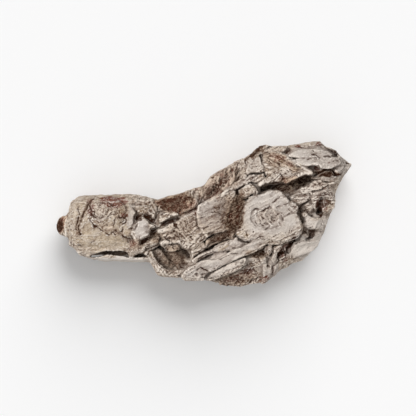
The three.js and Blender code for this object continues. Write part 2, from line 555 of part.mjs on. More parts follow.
const nubSolid = () =>
  turnedSolid(
    [
      [-58.9, 0],
      [-58.6, 1.6],
      [-57.8, 3],
      [-56.6, 3.9],
      [-55.6, 4.2],
      [-55.2, 3.7],
      [-54, 3.7],
      [-53, 0],
    ],
    NUB,
  );

function bossSolid() {
  const geometry = new THREE.SphereGeometry(1, 14, 9);
  geometry.scale(...BOSS.reach).translate(BOSS.x, BOSS.y, BOSS.z);
  return solidOf(geometry);
}

const constant = (value) => () => value;

function upperPlate({ lift, dip, outline }, seed) {
  const worn = wornOutline(outline, seed);
  const tilt = planeOver(worn, lift, dip);
  return plateSolid({ outline: worn, low: constant(ROOT), high: (x, y) => domeAt(x, y) + tilt(x, y) });
}

function hollow({ floor, dip = [0, 0], outline }, seed) {
  const mouth = wornOutline(outline, seed);
  const low = planeOver(mouth, floor, dip);
  return plateSolid({ outline: mouth, low, high: constant(OVERREACH), chamfer: 0.3 });
}

// The value on a line of [key, value] steps, between the two steps on either side of the key.
function between(steps, key) {
  const i = Math.max(1, steps.findIndex(([k]) => k >= key));
  const [k0, v0] = steps[i - 1];
  const [k1, v1] = steps[i];
  return v0 + (v1 - v0) * THREE.MathUtils.clamp((key - k0) / (k1 - k0), 0, 1);
}

// A place on the core's flank, at a height, and the ways along it, up it and out of it. turn goes
// once round the edge.
function onFlank(turn, z) {
  const place = (t, height) => {
    const along = (((t % 1) + 1) % 1) * EDGE.length;
    const i = Math.floor(along);
    const [ax, ay] = EDGE[i];
    const [bx, by] = EDGE[(i + 1) % EDGE.length];
    const edge = [ax + (bx - ax) * (along - i), ay + (by - ay) * (along - i)];
    return new THREE.Vector3(...drawnIn(edge, between(RINGS, height)), height);
  };
  const along = place(turn - 0.01, z).sub(place(turn + 0.01, z)).normalize();
  const up = place(turn, z + 0.5).sub(place(turn, z - 0.5));
  const out = along.clone().cross(up).normalize();
  const rise = out.clone().cross(along);
  return new THREE.Matrix4().makeBasis(along, rise, out).setPosition(place(turn, z));
}

// What is broken off the flank at a height: everything outside a plane that leans in under the lump.
function flankBreak(turn, { z, lean }, next) {
  const { along, up, out } = BREAK_BOX;
  const geometry = new THREE.BoxGeometry(along + 7 * next(), up + 3 * next(), out);
  geometry.translate(0, -0.4 * up, out / 2).rotateX(lean + 0.15 * next()).rotateZ(0.3 * next());
  geometry.translate(0, 0, -0.6 + 0.5 * next());
  geometry.applyMatrix4(onFlank(turn, z + next()));
  return solidOf(geometry);
}

function pit({ x, y, reach, turn }) {
  const geometry = new THREE.IcosahedronGeometry(1, 1);
  geometry.scale(...reach).rotateZ(turn).translate(x, y, 0);
  return solidOf(geometry);
}

function brokenUnder(lump) {
  const next = numbersFrom(77);
  for (let i = 0; i < BREAKS; i++) {
    const turn = (i + 0.4 * next()) / BREAKS;
    lump = lump.subtract(flankBreak(turn, i % 2 ? HIGH_BREAK : LOW_BREAK, next));
  }
  return PITS.reduce((rest, shape) => rest.subtract(pit(shape)), lump);
}

// The largest body with its pockets filled in, where plates close over a break in the core.
function outerSkin(lump) {
  return lump.decompose().reduce((most, body) => (body.volume() > most.volume() ? body : most));
}

function meteorite() {
  let lump = coreSolid();
  CORE_BREAKS.forEach((shape, i) => (lump = lump.subtract(hollow(shape, i + 201))));
  lump = lump.add(barrelSolid()).add(nubSolid()).add(bossSolid());
  UPPER_PLATES.forEach((shape, i) => (lump = lump.add(upperPlate(shape, i + 1))));
  lump = brokenUnder(lump);
  HOLLOWS.forEach((shape, i) => (lump = lump.subtract(hollow(shape, i + 101))));
  return outerSkin(lump);
}

const geometry = geometryOf(meteorite());
geometry.computeBoundingBox();
const middle = geometry.boundingBox.getCenter(new THREE.Vector3());
geometry.translate(-middle.x, -middle.y, -geometry.boundingBox.min.z);

const material = new THREE.MeshStandardMaterial({ color: 0xa39a90, roughness: 0.85, metalness: 0.15 });
const mesh = new THREE.Mesh(geometry, material);
mesh.name = "meteorite";

const group = new THREE.Group();
group.add(mesh);

export default group;
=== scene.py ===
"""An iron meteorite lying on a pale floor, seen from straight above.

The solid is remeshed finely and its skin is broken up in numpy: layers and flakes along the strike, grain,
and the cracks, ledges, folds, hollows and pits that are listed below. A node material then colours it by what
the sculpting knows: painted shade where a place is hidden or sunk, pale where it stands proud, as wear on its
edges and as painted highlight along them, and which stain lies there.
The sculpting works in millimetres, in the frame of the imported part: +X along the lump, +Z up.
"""
import math

import bpy
import numpy as np
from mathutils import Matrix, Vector


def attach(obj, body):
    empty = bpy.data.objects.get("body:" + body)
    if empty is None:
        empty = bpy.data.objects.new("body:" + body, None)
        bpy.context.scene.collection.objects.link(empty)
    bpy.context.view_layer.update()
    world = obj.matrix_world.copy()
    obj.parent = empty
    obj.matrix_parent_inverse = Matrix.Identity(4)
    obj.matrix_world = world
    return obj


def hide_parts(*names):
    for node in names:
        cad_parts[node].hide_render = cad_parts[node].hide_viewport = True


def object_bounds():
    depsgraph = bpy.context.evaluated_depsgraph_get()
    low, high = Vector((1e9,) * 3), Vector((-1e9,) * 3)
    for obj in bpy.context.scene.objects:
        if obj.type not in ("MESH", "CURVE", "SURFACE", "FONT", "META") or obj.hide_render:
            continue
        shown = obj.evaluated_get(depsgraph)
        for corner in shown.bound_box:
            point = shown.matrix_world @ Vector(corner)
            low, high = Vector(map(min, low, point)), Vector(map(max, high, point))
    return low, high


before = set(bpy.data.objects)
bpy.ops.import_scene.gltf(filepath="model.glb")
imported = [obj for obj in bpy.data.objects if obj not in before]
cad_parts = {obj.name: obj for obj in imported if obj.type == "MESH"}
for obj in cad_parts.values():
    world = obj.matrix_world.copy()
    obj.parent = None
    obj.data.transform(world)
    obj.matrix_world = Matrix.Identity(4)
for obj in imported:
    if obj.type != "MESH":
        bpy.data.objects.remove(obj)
cad_low, cad_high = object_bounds()

MM = 0.001
VOXEL = 0.27  # remesh size
AIMED_TRIANGLES = 196_000  # not reached, as the note at the thinning says
INSET = 0.04  # the skin stays this far inside the solid's box
STRIKE = 26.0  # degrees from +X: the way the layers of the head run

# ---------------------------------------------------------------- noise


def lattice(i, seed):
    """A number from -1 to 1 for each integer cell."""
    n = i[:, 0] * 73856093 ^ i[:, 1] * 19349663 ^ i[:, 2] * 83492791 ^ (seed * 2654435761)
    n = (n ^ (n >> 13)) * 1274126177 & 0xFFFFFFFF
    n = (n ^ (n >> 16)) * 2246822519 & 0xFFFFFFFF
    return (n ^ (n >> 15)) / 2147483647.5 - 1


def noise(p, seed):
    """Smooth noise from -1 to 1, with one cell a unit."""
    i = np.floor(p).astype(np.int64)
    f = p - i
    f = f * f * f * (f * (f * 6 - 15) + 10)
    total = np.zeros(len(p))
    for dx in (0, 1):
        for dy in (0, 1):
            for dz in (0, 1):
                w = (f[:, 0] if dx else 1 - f[:, 0]) * (f[:, 1] if dy else 1 - f[:, 1])
                w = w * (f[:, 2] if dz else 1 - f[:, 2])
                total += w * lattice(i + (dx, dy, dz), seed)
    return total


def fractal(p, size, octaves, seed, gain=0.5):
    """Noise in octaves, the largest with features this size in mm."""
    total = np.zeros(len(p))
    weight = 1.0
    for k in range(octaves):
        total += weight * noise(p / size + 17.3 * k, seed + k)
        size *= 0.5
        weight *= gain
    return total


def flakes(p, seed):
    """For cells a unit across: the distance to a cell's border, and a height that steps and tilts by cell."""
    base = np.floor(p).astype(np.int64)
    first = np.full(len(p), 9.0)
    second = np.full(len(p), 9.0)
    height = np.zeros(len(p))
    for dx in (-1, 0, 1):
        for dy in (-1, 0, 1):
            for dz in (-1, 0, 1):
                i = base + (dx, dy, dz)
                random = np.stack([lattice(i, seed + k) for k in range(3)], 1)
                offset = p - i - 0.5 - 0.42 * random
                d = np.linalg.norm(offset, axis=1)
                nearer = d < first
                second = np.where(nearer, first, np.minimum(second, d))
                tilted = 0.6 * random[:, 0] + offset[:, 0] * random[:, 1] + offset[:, 1] * random[:, 2]
                height = np.where(nearer, tilted, height)
                first = np.where(nearer, d, first)
    return second - first, height


def turned(p, degrees, stretch, squeeze):
    """Points turned so that X runs this way, in cells this long and this wide."""
    a = math.radians(degrees)
    u = (p[:, 0] * math.cos(a) + p[:, 1] * math.sin(a)) / stretch
    v = (-p[:, 0] * math.sin(a) + p[:, 1] * math.cos(a)) / squeeze
    return np.stack([u, v, p[:, 2] / squeeze], 1)


def smooth(x, low, high):
    """0 up to low, 1 from high on, and a soft rise between them."""
    t = np.clip((x - low) / (high - low), 0, 1)
    return t * t * (3 - 2 * t)


# ---------------------------------------------------------------- the fine mesh

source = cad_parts["meteorite"]
body = bpy.data.objects.new("meteorite_skin", source.data.copy())
body.data.materials.clear()
bpy.context.collection.objects.link(body)


def apply_modifiers(obj):
    """Puts the modified mesh in place of the object's own."""
    graph = bpy.context.evaluated_depsgraph_get()
    made = bpy.data.meshes.new_from_object(obj.evaluated_get(graph))
    old = obj.data
    obj.modifiers.clear()
    obj.data = made
    bpy.data.meshes.remove(old)


remesh = body.modifiers.new("fine", "REMESH")
remesh.mode = "VOXEL"
remesh.voxel_size = VOXEL * MM
apply_modifiers(body)

mesh = body.data
count = len(mesh.vertices)
places = np.empty(count * 3)
mesh.vertices.foreach_get("co", places)
P = places.reshape(-1, 3) / MM
ends = np.empty(len(mesh.edges) * 2, dtype=np.int64)
mesh.edges.foreach_get("vertices", ends)
A, B = ends.reshape(-1, 2).T
degree = np.bincount(A, minlength=count) + np.bincount(B, minlength=count)


def averaged(values, rounds):
    """Each vertex's value mixed with its neighbours' this many times."""
    v = values.astype(float)
    flat = v.ndim == 1
    v = v[:, None] if flat else v
    for _ in range(rounds):
        sums = np.stack(
            [
                np.bincount(A, v[B, k], minlength=count) + np.bincount(B, v[A, k], minlength=count)
                for k in range(v.shape[1])
            ],
            1,
        )
        v = 0.5 * v + 0.5 * sums / degree[:, None]
    return v[:, 0] if flat else v


def normals():
    """The vertices' normals, once the mesh has been given their places."""
    mesh.vertices.foreach_set("co", (P * MM).ravel())
    mesh.update()
    n = np.empty(count * 3)
    mesh.vertex_normals.foreach_get("vector", n)
    return n.reshape(-1, 3)


def ellipse(x, y, along, across, degrees=0.0, places=P):
    """1 inside an ellipse seen from above, falling softly to 0 outside it.

    The vertices count as lying where they were before the sculpting, unless other places are given.
    """
    a = math.radians(degrees)
    u = (places[:, 0] - x) * math.cos(a) + (places[:, 1] - y) * math.sin(a)
    v = -(places[:, 0] - x) * math.sin(a) + (places[:, 1] - y) * math.cos(a)
    return 1 - smooth(np.hypot(u / along, v / across), 0.7, 1.2)


# the solid's edges are rounded, and rubble fills the narrow gaps between its plates, apart from the open ones
P = averaged(P, 5)
from_nub = np.hypot(P[:, 1] + 3.9, P[:, 2] - 10.4)
P[:, 0] += 0.9 * smooth(-P[:, 0], 49, 53.5) * smooth(from_nub, 3.8, 5.2)  # the barrel's end, behind its nub
N = normals()
open_gaps = np.zeros(count)
for gap in (
    (-37, -15, 10, 2.5),  # slit under the barrel
    (-13, -17, 10, 6),  # cell
    (33, 12.5, 13, 4, 15),  # crevice
):
    open_gaps = np.maximum(open_gaps, ellipse(*gap))
for _ in range(3):
    lack = np.clip(averaged(P[:, 2], 60) - P[:, 2], 0, 4) * smooth(N[:, 2], -0.2, 0.4)
    P[:, 2] += averaged(0.6 * lack * (1 - open_gaps), 5)
    N = normals()
for x, y, radius, depth in (
    (48, 4.5, 4.2, 0.1),  # eye
    (34.3, -13, 2.6, 1.2),  # vents
    (30.1, -16, 2.2, 1.2),
):
    away = np.hypot(P[:, 0] - x, P[:, 1] - y)
    rim = np.median(P[(away > radius) & (away < 1.3 * radius) & (N[:, 2] > 0.5), 2])
    level = rim - depth * (1 - smooth(away, 0.4 * radius, radius))
    sunk = (away < radius) & (P[:, 2] < level) & (P[:, 2] > rim - 12) & (N[:, 2] > -0.3)
    P[sunk, 2] = level[sunk]
# the eye's ring is worn down, and so is the step right of the six-sided plate
worn_down = np.maximum(ellipse(48, 4.5, 6, 6), ellipse(39.6, -2.5, 2.2, 7, 14))
P += (averaged(P, 40) - P) * worn_down[:, None]
P = averaged(P, 1)
N = normals()
top = smooth(N[:, 2], 0.0, 0.45) * smooth(P[:, 2], 2, 6)  # 1 on what faces up

# the marks below are drawn on the lump from above, and these wobbled places keep their lines from being neat
wobble = np.stack([fractal(P, 2.2, 3, 101, 0.6), fractal(P, 2.2, 3, 131, 0.6)], 1)
DRAWN = P[:, :2] + 0.32 * wobble

height = np.zeros(count)  # how far each vertex moves out, in mm
dark = np.zeros(count)
shade = np.zeros(count)
pale = np.zeros(count)
broken = 0.6 + 0.4 * smooth(fractal(P, 2.4, 2, 171), -0.5, 0.3)  # no line is as strong all along


def corners(numbers):
    """Places from x, y, x, y and so on."""
    return np.array(numbers, float).reshape(-1, 2)


def line_distance(numbers, reach):
    """The vertices near an open line, and how far each is from it."""
    line = corners(numbers)
    box = (DRAWN > line.min(0) - reach).all(1) & (DRAWN < line.max(0) + reach).all(1) & (top > 0)
    near = np.flatnonzero(box)
    q = DRAWN[near]
    best = np.full(len(near), 99.0)
    for a, b in zip(line[:-1], line[1:]):
        run = b - a
        t = np.clip((q - a) @ run / (run @ run), 0, 1)
        best = np.minimum(best, np.linalg.norm(q - a - t[:, None] * run, axis=1))
    return near, best


def inside(outline, q):
    """Which of these places are inside a closed outline."""
    result = np.zeros(len(q), bool)
    for (ax, ay), (bx, by) in zip(outline, np.roll(outline, -1, 0)):
        if ay == by:
            continue
        crosses = (ay > q[:, 1]) != (by > q[:, 1])
        result ^= crosses & (q[:, 0] < ax + (q[:, 1] - ay) * (bx - ax) / (by - ay))
    return result


def crack(width, strength, *lines):
    """Dark grooves, with painted shade beside them."""
    for line in lines:
        near, d = line_distance(line, 2 * width + 0.8)
        force = strength * top[near] * broken[near]
        shape = force * np.exp(-((d / (0.62 * width)) ** 2))
        height[near] -= 0.9 * width * shape
        dark[near] = np.maximum(dark[near], min(0.9, 0.25 + width) * smooth(shape, 0.25, 0.95))
        shade[near] = np.maximum(shade[near], 0.75 * force * np.exp(-((d / (1.4 * width + 0.2)) ** 2)))


def ledge(width, strength, *lines):
    """Proud edges painted pale: the stone's pale edges, and painted highlight along them."""
    for line in lines:
        near, d = line_distance(line, 2 * width + 0.5)
        shape = strength * np.exp(-((d / (0.75 * width)) ** 2)) * top[near] * broken[near] ** 0.5
        height[near] += 0.4 * width * shape
        pale[near] = np.maximum(pale[near], shape)


def fold(width, rise, *lines):
    """Rounded folds that stand proud, with shade along both their feet."""
    for line in lines:
        near, d = line_distance(line, 2 * width + 0.5)
        height[near] += rise * np.exp(-((d / (0.6 * width)) ** 2)) * top[near]
        foot = 0.4 * np.exp(-(((d - 1.1 * width) / (0.35 * width)) ** 2)) * top[near] * broken[near]
        shade[near] = np.maximum(shade[near], foot)


def hollow(depth, strength, *outlines):
    """Sunken patches with steep sides, painted with shade, brown at half strength and near black at full."""
    for outline in outlines:
        near, d = line_distance(outline + outline[:2], 1.5)
        d = np.where(inside(corners(outline), DRAWN[near]), d, -d)
        shape = smooth(d, -0.25, 0.45) * top[near]
        height[near] -= depth * shape
        shade[near] = np.maximum(shade[near], min(1.0, 1.4 * strength) * shape)
        dark[near] = np.maximum(dark[near], max(0.0, 1.4 * strength - 0.7) * shape * broken[near])


def pit(radius, depth, *middles):
    """Round holes with raised rims, painted with shade in the hole and pale on the rim."""
    for x, y in middles:
        near, d = line_distance((x, y, x + 0.01, y), 2 * radius + 0.5)
        hole = (1 - smooth(d, 0.3 * radius, 0.9 * radius)) * top[near]
        rim = np.exp(-(((d - 1.15 * radius) / (0.3 * radius)) ** 2)) * top[near]
        height[near] += 0.25 * radius * rim - depth * hole
        dark[near] = np.maximum(dark[near], 0.6 * hole)
        pale[near] = np.maximum(pale[near], 0.7 * rim)


# ---------------------------------------------------------------- cracks, ledges, hollows and pits
# Each call gives a width or depth and a strength, then its marks: the places that each runs through, as x, y,
# x, y and so on. Folds give their rise instead of a strength, and pits a radius and a depth. Strengths above
# 1 are for the low ground at the right, where marks come out fainter.

# barrel: the crack round the boss, the splits across its face, and its right end, which is broken up
crack(0.4, 0.65, (-50, -11.2, -49.2, -12.2), (-52.6, 3.6, -52.7, -0.4, -52.6, -4, -52.9, -7.2, -53, -11.6))
crack(0.45, 0.75, (-37.4, 3.2, -36.2, 2.4))
crack(0.45, 0.85, (-49.8, 2.8, -49.6, 1, -49.4, -0.4), (-31.8, -2.4, -32.6, -3.4, -33.4, -4.2))
crack(0.5, 0.75, (-40, 5.4, -38, 4.8, -36.4, 4, -34.8, 2.8, -33.2, 2.2), (-34.8, -1.6, -35.2, -3.2,
    -35.8, -4.6))
crack(0.5, 0.85, (-42.8, 4.4, -41, 4.8, -39.4, 4.2), (-34.2, 2.6, -33.4, 0.8, -33.6, -0.8))
crack(0.5, 0.95, (-45.2, -11.6, -43.8, -10.8))
crack(0.55, 0.75, (-39.2, -1.7, -38.7, -1.8))
crack(0.55, 0.95, (-45.2, -2.4, -44.2, -3.8, -43.6, -4.9), (-31, -2, -31.2, -3.2, -32, -4, -33.4, -5))
crack(0.55, 1, (-28.4, -8.6, -27.8, -9.8, -27.2, -10.8))
crack(0.6, 0.75, (-41.6, -1.6, -40, -1.4))
crack(0.6, 0.95, (-44.6, 1.2, -43.4, 0.8, -43, -0.4), (-54.6, -9.6, -54, -11.2, -52.4, -13.4), (-37, -7.6,
    -36, -7, -35.2, -8.2))
crack(0.6, 1, (-49.8, -1.2, -50, -2.6, -50.8, -4.8, -51.2, -6), (-40.2, -6.8, -38.8, -7.8, -37.6, -8.2),
    (-29.4, -7.8, -29, -9.2, -28.4, -10.8))
crack(0.7, 1, (-44, 6.4, -46.2, 4.6, -46.8, 2.4, -48.2, -0.2, -49.2, -3.2, -50, -5.8, -49.2, -8.4))
crack(0.8, 0.95, (-31.2, 0.8, -30.8, -0.4, -31.4, -1.4, -32.8, -1.6, -33.4, -1.2))
crack(0.8, 1, (-45.6, 3.6, -44.8, 1.8, -44.4, 0, -43.2, -1.4))
crack(0.9, 1, (-43.6, -5, -42.4, -5, -41.2, -6, -40.2, -6.8), (-34.8, -6.4, -34.2, -7.2, -32.8, -8,
    -31.6, -9.2, -30.6, -9.8, -29.6, -10.2))
ledge(0.43, 1, (-55.2, -1.2, -55.2, -6.4, -54.8, -9.6))
# the first ledge here is a painted glint across the barrel
ledge(0.48, 1, (-39.6, -5.6, -38, -5.4, -36.4, -5.2), (-28.6, -7.9, -27.7, -9.2, -26.4, -11.6))
hollow(0.3, 0.8, (-57.6, -1.4, -56.6, -1.2, -56.4, -3.6, -56.6, -6, -57.4, -8, -58.2, -7, -58.4, -4,
    -58.2, -2.4))
hollow(0.4, 0.9, (-46.4, 5.4, -44.8, 5.8, -44.4, 4.8, -45.2, 3.8, -46.8, 3.8))
hollow(0.5, 0.9, (-33.6, -7.2, -32.8, -6.4, -32.2, -5.4, -31.8, -6.4, -32.2, -7.6))

# neck and its rust shoulders: slits, knuckles, and the grey plates between them
crack(0.35, 0.7, (-8.8, 4.4, -7.6, 5.6, -6.4, 6))
crack(0.35, 0.8, (-4.4, 7.6, -3, 8.6))
crack(0.4, 0.8, (-13, 5.4, -12, 4, -11.4, 2.4), (-8, 6.4, -6.8, 7))
crack(0.4, 0.9, (-28.8, 3, -27.8, 2, -26.8, 1.2, -26.4, 0))
crack(0.5, 0.8, (-29.6, -6, -28.4, -5.4))
crack(0.5, 0.9, (-25.6, -9.2, -25.2, -10.8, -25.4, -12.2))
crack(0.6, 1, (-28.4, 4.2, -26.4, 4, -24.8, 3.8))
crack(0.7, 0.7, (-23.6, 1, -22.4, 0.6))
crack(0.7, 1, (-3.4, 1.2, -3, -0.4, -3.2, -2, -2.8, -4, -2, -6))
crack(0.85, 0.9, (-25.2, -12, -23.6, -11, -22.4, -10.2, -21.2, -9.4))
ledge(0.35, 0.8, (-4.8, 8, -3.4, 8.8, -2.2, 9.4, -1, 10.2), (-4.8, 6.6, -3.6, 7.4, -2.8, 8.4, -1.6, 9))
ledge(0.35, 0.9, (-17.6, 2.8, -16.4, 2.4, -15.2, 2.4))
ledge(0.4, 0.6, (-13, 6, -12, 4.8, -11.2, 3.2))
ledge(0.4, 0.8, (-25.2, -9.6, -24.2, -10.8))
ledge(0.4, 0.9, (-30, 3.4, -28, 3, -26, 3, -24, 3.4), (-0.6, 9.4, -0.8, 8.2, -0.9, 6.8))
ledge(0.4, 1, (-17.6, -6.4, -14, -5.1, -10, -3.1, -8.8, -1.9, -5.6, 0.3, -3.2, 1.4))
ledge(0.45, 0.6, (-3.8, 5.6, -4.3, 4, -4.4, 2.4))
ledge(0.45, 1, (-24, -1.3, -22.8, -2.5, -21.6, -4.1, -20, -4.8, -18.8, -4.8), (-17.2, -3.3, -15.6, -2.4,
    -14, -1.4, -12.8, -0.6, -11.2, -0.3, -10.2, -0.6), (-2.2, 3, -2.4, 1.2, -2.2, -0.6, -2.3, -2.4,
    -1.8, -4.4, -0.8, -6.2))
hollow(0.4, 0.6, (-27.8, -4, -26.4, -3.6, -26.4, -5.6, -27.2, -6.8, -29.2, -6.2, -28.4, -5.2))
hollow(0.4, 0.8, (-17.4, 0, -16.8, 0.8, -15.8, 1.4, -15.2, 0.8, -16, -0.4, -17, -0.8))
hollow(0.5, 0.5, (-19, 4.8, -18.4, 0.8, -17.6, -1.2, -17.2, 0, -17.6, 2.8, -17.2, 4.8, -18, 5.6))
hollow(0.5, 0.8, (-20.4, -9, -18.4, -7.4, -16.4, -7.6, -16.8, -9.6, -18.4, -10.4, -20, -10))
hollow(0.5, 0.9, (-21.2, -5.6, -20.4, -5.2, -18.8, -5, -18.6, -6.8, -19.6, -8.4, -20.6, -8, -21.1, -6.8))
hollow(0.6, 1, (-27.8, -0.8, -26.8, -0.4, -24.6, -0.2, -25.2, -1.6, -26.2, -2.4, -27.2, -3, -27.4, -2))
hollow(0.7, 1, (-24.8, -0.2, -22, -0.8, -21.6, -2, -20, -1.6, -18.8, -2, -18.8, -4, -20, -4.2, -21.2, -3.6,
    -22.4, -2.2, -23.6, -1))
hollow(0.9, 1, (-17.2, -4, -16.4, -3.2, -14.8, -2.2, -13.2, -1.3, -11.6, -0.9, -10.2, -1.1, -9.6, -1.6,
    -10.4, -2.6, -12, -3.6, -14, -4.4, -15.6, -5, -17.2, -4.8))
pit(0.75, 0.5, (-21.1, -0.7))
pit(0.9, 0.5, (-21.2, 1.2))

# bark on the upper slope of the head, and the big plate with the dark hollow at its right
crack(0.35, 0.5, (-0.8, -3, 0.4, -2, 2, -1, 3.6, -0.8), (4.4, 3.2, 5.2, 2))
crack(0.35, 0.6, (2.8, -3.4, 3.6, -3.8, 4.8, -3.4, 5.6, -2.8), (6, 0.2, 6.8, 0))
crack(0.35, 0.7, (8, 5.8, 9.2, 6.4))
crack(0.35, 0.8, (4.4, -5.6, 5.4, -6.6, 6.4, -6.5, 8, -5.9))
crack(0.4, 0.6, (10, 6.6, 10.8, 7.2))
crack(0.4, 0.75, (8.4, 16.8, 9.2, 18, 10, 18.6))
crack(0.4, 0.8, (17.6, 6.8, 16.4, 6, 16.6, 4.4, 16, 2.4, 14.8, 0, 14.2, -2.4, 13.2, -4.8))
crack(0.4, 0.9, (-0.2, -6, 0.8, -5.4, 2, -4.8), (10.4, 3, 11.6, 3.3))
crack(0.45, 0.6, (3, 0.6, 4.4, 1.2, 4.8, 0))
crack(0.45, 0.95, (6.8, 8.6, 7.6, 9))
crack(0.5, 0.9, (11.2, 3.9, 11.6, 3.8))
crack(0.5, 0.95, (5.2, 13.2, 5.6, 12, 4.8, 11.2), (10.2, 9.6, 9.2, 9))
crack(0.5, 1, (0.4, -9, -0.6, -10.5, -1.6, -10.8))
crack(0.55, 0.9, (13, -4.4, 12.6, -6, 12.6, -7.6, 12, -8.8))
crack(0.55, 0.95, (0.8, 10.4, 1.8, 10, 2.6, 8, 2.6, 6.4), (4.8, 16.8, 5.6, 16.6, 6.4, 17))
crack(0.55, 1, (-2, 4.1, -0.4, 4.8, 1.2, 5.6, 2.8, 6.3), (10, 15.4, 9.8, 14.4, 9.2, 13.2, 8.4, 12.4,
    7.2, 12.2, 6.4, 11.6))
crack(0.6, 1, (13.2, 19.6, 14.2, 21.4), (14.2, 18.4, 13.6, 16.8, 12.6, 15.6))
crack(0.65, 0.95, (12.4, 16.8, 13, 17.8, 13.6, 19.2))
crack(0.7, 1, (7.5, 11.4, 7.9, 11))
ledge(0.35, 0.6, (10.8, 2.2, 12, 2.4), (2, -7.6, 3.6, -6.8, 4.8, -6.2))
ledge(0.4, 0.6, (6.8, -7.6, 8, -6.6, 9.2, -6.1))
ledge(0.4, 0.8, (11.4, -4.8, 10.8, -6, 10.6, -7.6, 11, -8.8))
ledge(0.4, 1, (-2, 3.2, -0.4, 4.4, 1.6, 5.2, 4, 6.2, 6.4, 7.4, 8.8, 8.8))
ledge(0.45, 0.8, (1.2, -10, 1, -11.4, 0.8, -12.8))
ledge(0.5, 0.95, (9.6, 12.4, 8.8, 11.2, 7.8, 10.4), (2.4, 13.6, 3.6, 14.2, 4.8, 14.8))
ledge(0.55, 0.95, (0.6, 11.8, 2, 12.6, 2.6, 13.4))
ledge(0.55, 1, (3, 8.4, 3, 7.2), (12.2, 12, 12.4, 13.6, 13, 15.2, 13.8, 16.4))
ledge(0.65, 0.95, (3.4, 11.2, 3, 9.6))
ledge(0.75, 0.95, (11, 14.6, 10.8, 13.2, 10.6, 12))
hollow(0.4, 0.6, (12.8, 7.2, 14, 7.6, 14.8, 6.4, 14.8, 4.4, 13.6, 3.6, 12.8, 5.2))
hollow(0.4, 0.7, (-0.4, 8.8, 0.8, 9.2, 2, 8.8, 2.4, 7.2, 1.6, 6.2, 0, 5.6, -0.6, 6.8), (2.6, 15.2, 3.8, 15.4,
    4.4, 14.8, 3.6, 14.2, 2.6, 14.2))
hollow(0.4, 0.8, (10.2, -3.2, 11.2, -2.8, 12, -3.4, 11.6, -4.4, 10, -4.2))
hollow(0.45, 0.8, (9.6, 0.4, 10.8, 1.6, 12, 2, 12.4, 0.4, 12, -1, 10.8, -1.8, 9.2, -1.6))
hollow(0.5, 0.8, (8.4, -6.8, 9.6, -6.4, 10.4, -7.6, 10, -9.2, 8.8, -9.6, 7.2, -9.6, 8, -8))
hollow(0.5, 0.9, (1.2, -8.6, 1.6, -7.2, 2.8, -6.8, 4, -6.6, 4.8, -7.2, 3.6, -8, 2.2, -8.6))
hollow(0.6, 1, (3.2, 6.6, 2.8, 8, 3.6, 9.2, 4.4, 10.4, 5.2, 11.2, 6.4, 11.2, 6.8, 10, 6, 8.8, 5.2, 8,
    4.4, 7.2), (12.6, 13.4, 12.8, 14.6, 13.8, 15.8, 14.4, 16, 14.4, 14, 13.6, 13))
hollow(0.7, 0.9, (1.2, -12.4, 2, -11, 3.6, -11.2, 4.8, -10.4, 6, -11, 6.8, -10, 8.4, -9, 10, -9.4, 11.2, -10,
    9.6, -10.4, 7.2, -11.4, 5.2, -12.6, 3.2, -13.2, 1.4, -14.2, 0.4, -13.6))
for x, y in ((-2.6, 6.2), (0.2, 7.2), (3.2, 10.6), (6, 12.8), (8.4, 14), (10.6, 16.2)):
    ledge(0.55, 1, (x, y + 1.8, x - 0.6, y + 0.4, x - 0.4, y - 1.2))
    crack(0.7, 1, (x + 0.7, y + 1.6, x + 0.3, y + 0.2, x + 0.5, y - 1.4))

# hatched plate with its splinters, and the cell: dark broken ground inside a pale rim
crack(0.3, 0.6, (-8, -7.6, -6.8, -8.2, -6, -9.4))
crack(0.3, 0.7, (-5.6, -7.2, -4.6, -8.2, -5.2, -9))
crack(0.35, 0.6, (-15.6, -7.8, -14, -7.2, -12.8, -6.8))
crack(0.35, 0.7, (-12.6, -7, -10.8, -8.8, -9.6, -10.4, -8.8, -11.2))
crack(0.4, 0.6, (-3.2, -9.8, -2, -9, -0.8, -8.6))
crack(0.4, 0.7, (-17.2, -7, -16.4, -6.8), (-20, -17.2, -18.4, -16.4, -17.4, -15.8))
crack(0.4, 0.8, (-13.8, -20.4, -12.4, -21.2, -11.4, -21.8))
crack(0.4, 0.9, (-13.8, -11, -12.4, -11.4, -10.4, -11.6), (-20.8, -17.6, -19.6, -18.8, -17.4, -20.6,
    -16.4, -21.6), (-17.4, -19.8, -16.2, -20.6), (-12, -20, -10.8, -21.2, -10.4, -22))
crack(0.45, 0.6, (-14.6, -10, -13.8, -9.4))
crack(0.45, 0.7, (-13.4, -22.4, -11.8, -22.6))
crack(0.5, 0.6, (-13, -23.4, -11.2, -23.7, -10, -23.2))
crack(0.5, 0.9, (-15.8, -21.6, -15.2, -22.6, -14, -23.2))
crack(0.6, 0.8, (-8.3, -12, -8, -11.6))
ledge(0.35, 0.7, (-5.2, -10, -4, -9))
ledge(0.35, 0.8, (-13.6, -5.2, -12, -6.8, -10.4, -8.4, -8.8, -10), (-12.6, -9.8, -11.6, -11.2, -10.4, -10.6,
    -9.2, -10.4))
ledge(0.4, 0.6, (-4.2, -15.2, -4.6, -16.8, -5, -18.2))
ledge(0.4, 0.7, (-11.6, -21.2, -10.8, -22.4))
ledge(0.4, 0.8, (-4.8, -20.2, -4, -19.2, -2.8, -18.4))
ledge(0.4, 1, (-15.6, -12.9, -14.6, -14.1, -13.2, -14.5, -12.2, -13.8))
ledge(0.45, 0.7, (-6.4, -15.2, -6, -15.8))
ledge(0.55, 0.9, (-23, -15.4, -22, -17, -20.8, -18.8, -19.2, -20.4, -17.6, -22.2, -16.4, -23.6))
ledge(0.6, 1, (-7.8, -18, -6.8, -18.7, -5.6, -18.6))
ledge(0.7, 0.7, (-17, -11.3, -15.6, -11.3))
hollow(0.3, 0.2, (-16, -13.6, -14.4, -15, -12.4, -15.2, -10.4, -16.4, -9.6, -18.4, -10.8, -20, -12.8, -19.6,
    -14.8, -18.8, -15.8, -17.2, -16.6, -15.2))
hollow(0.5, 0.7, (-23.2, -14.4, -21.6, -13.2, -20, -12.2, -18, -11.6, -16.8, -12.4, -18.4, -13.4,
    -20.4, -14.4, -21.4, -15.2))
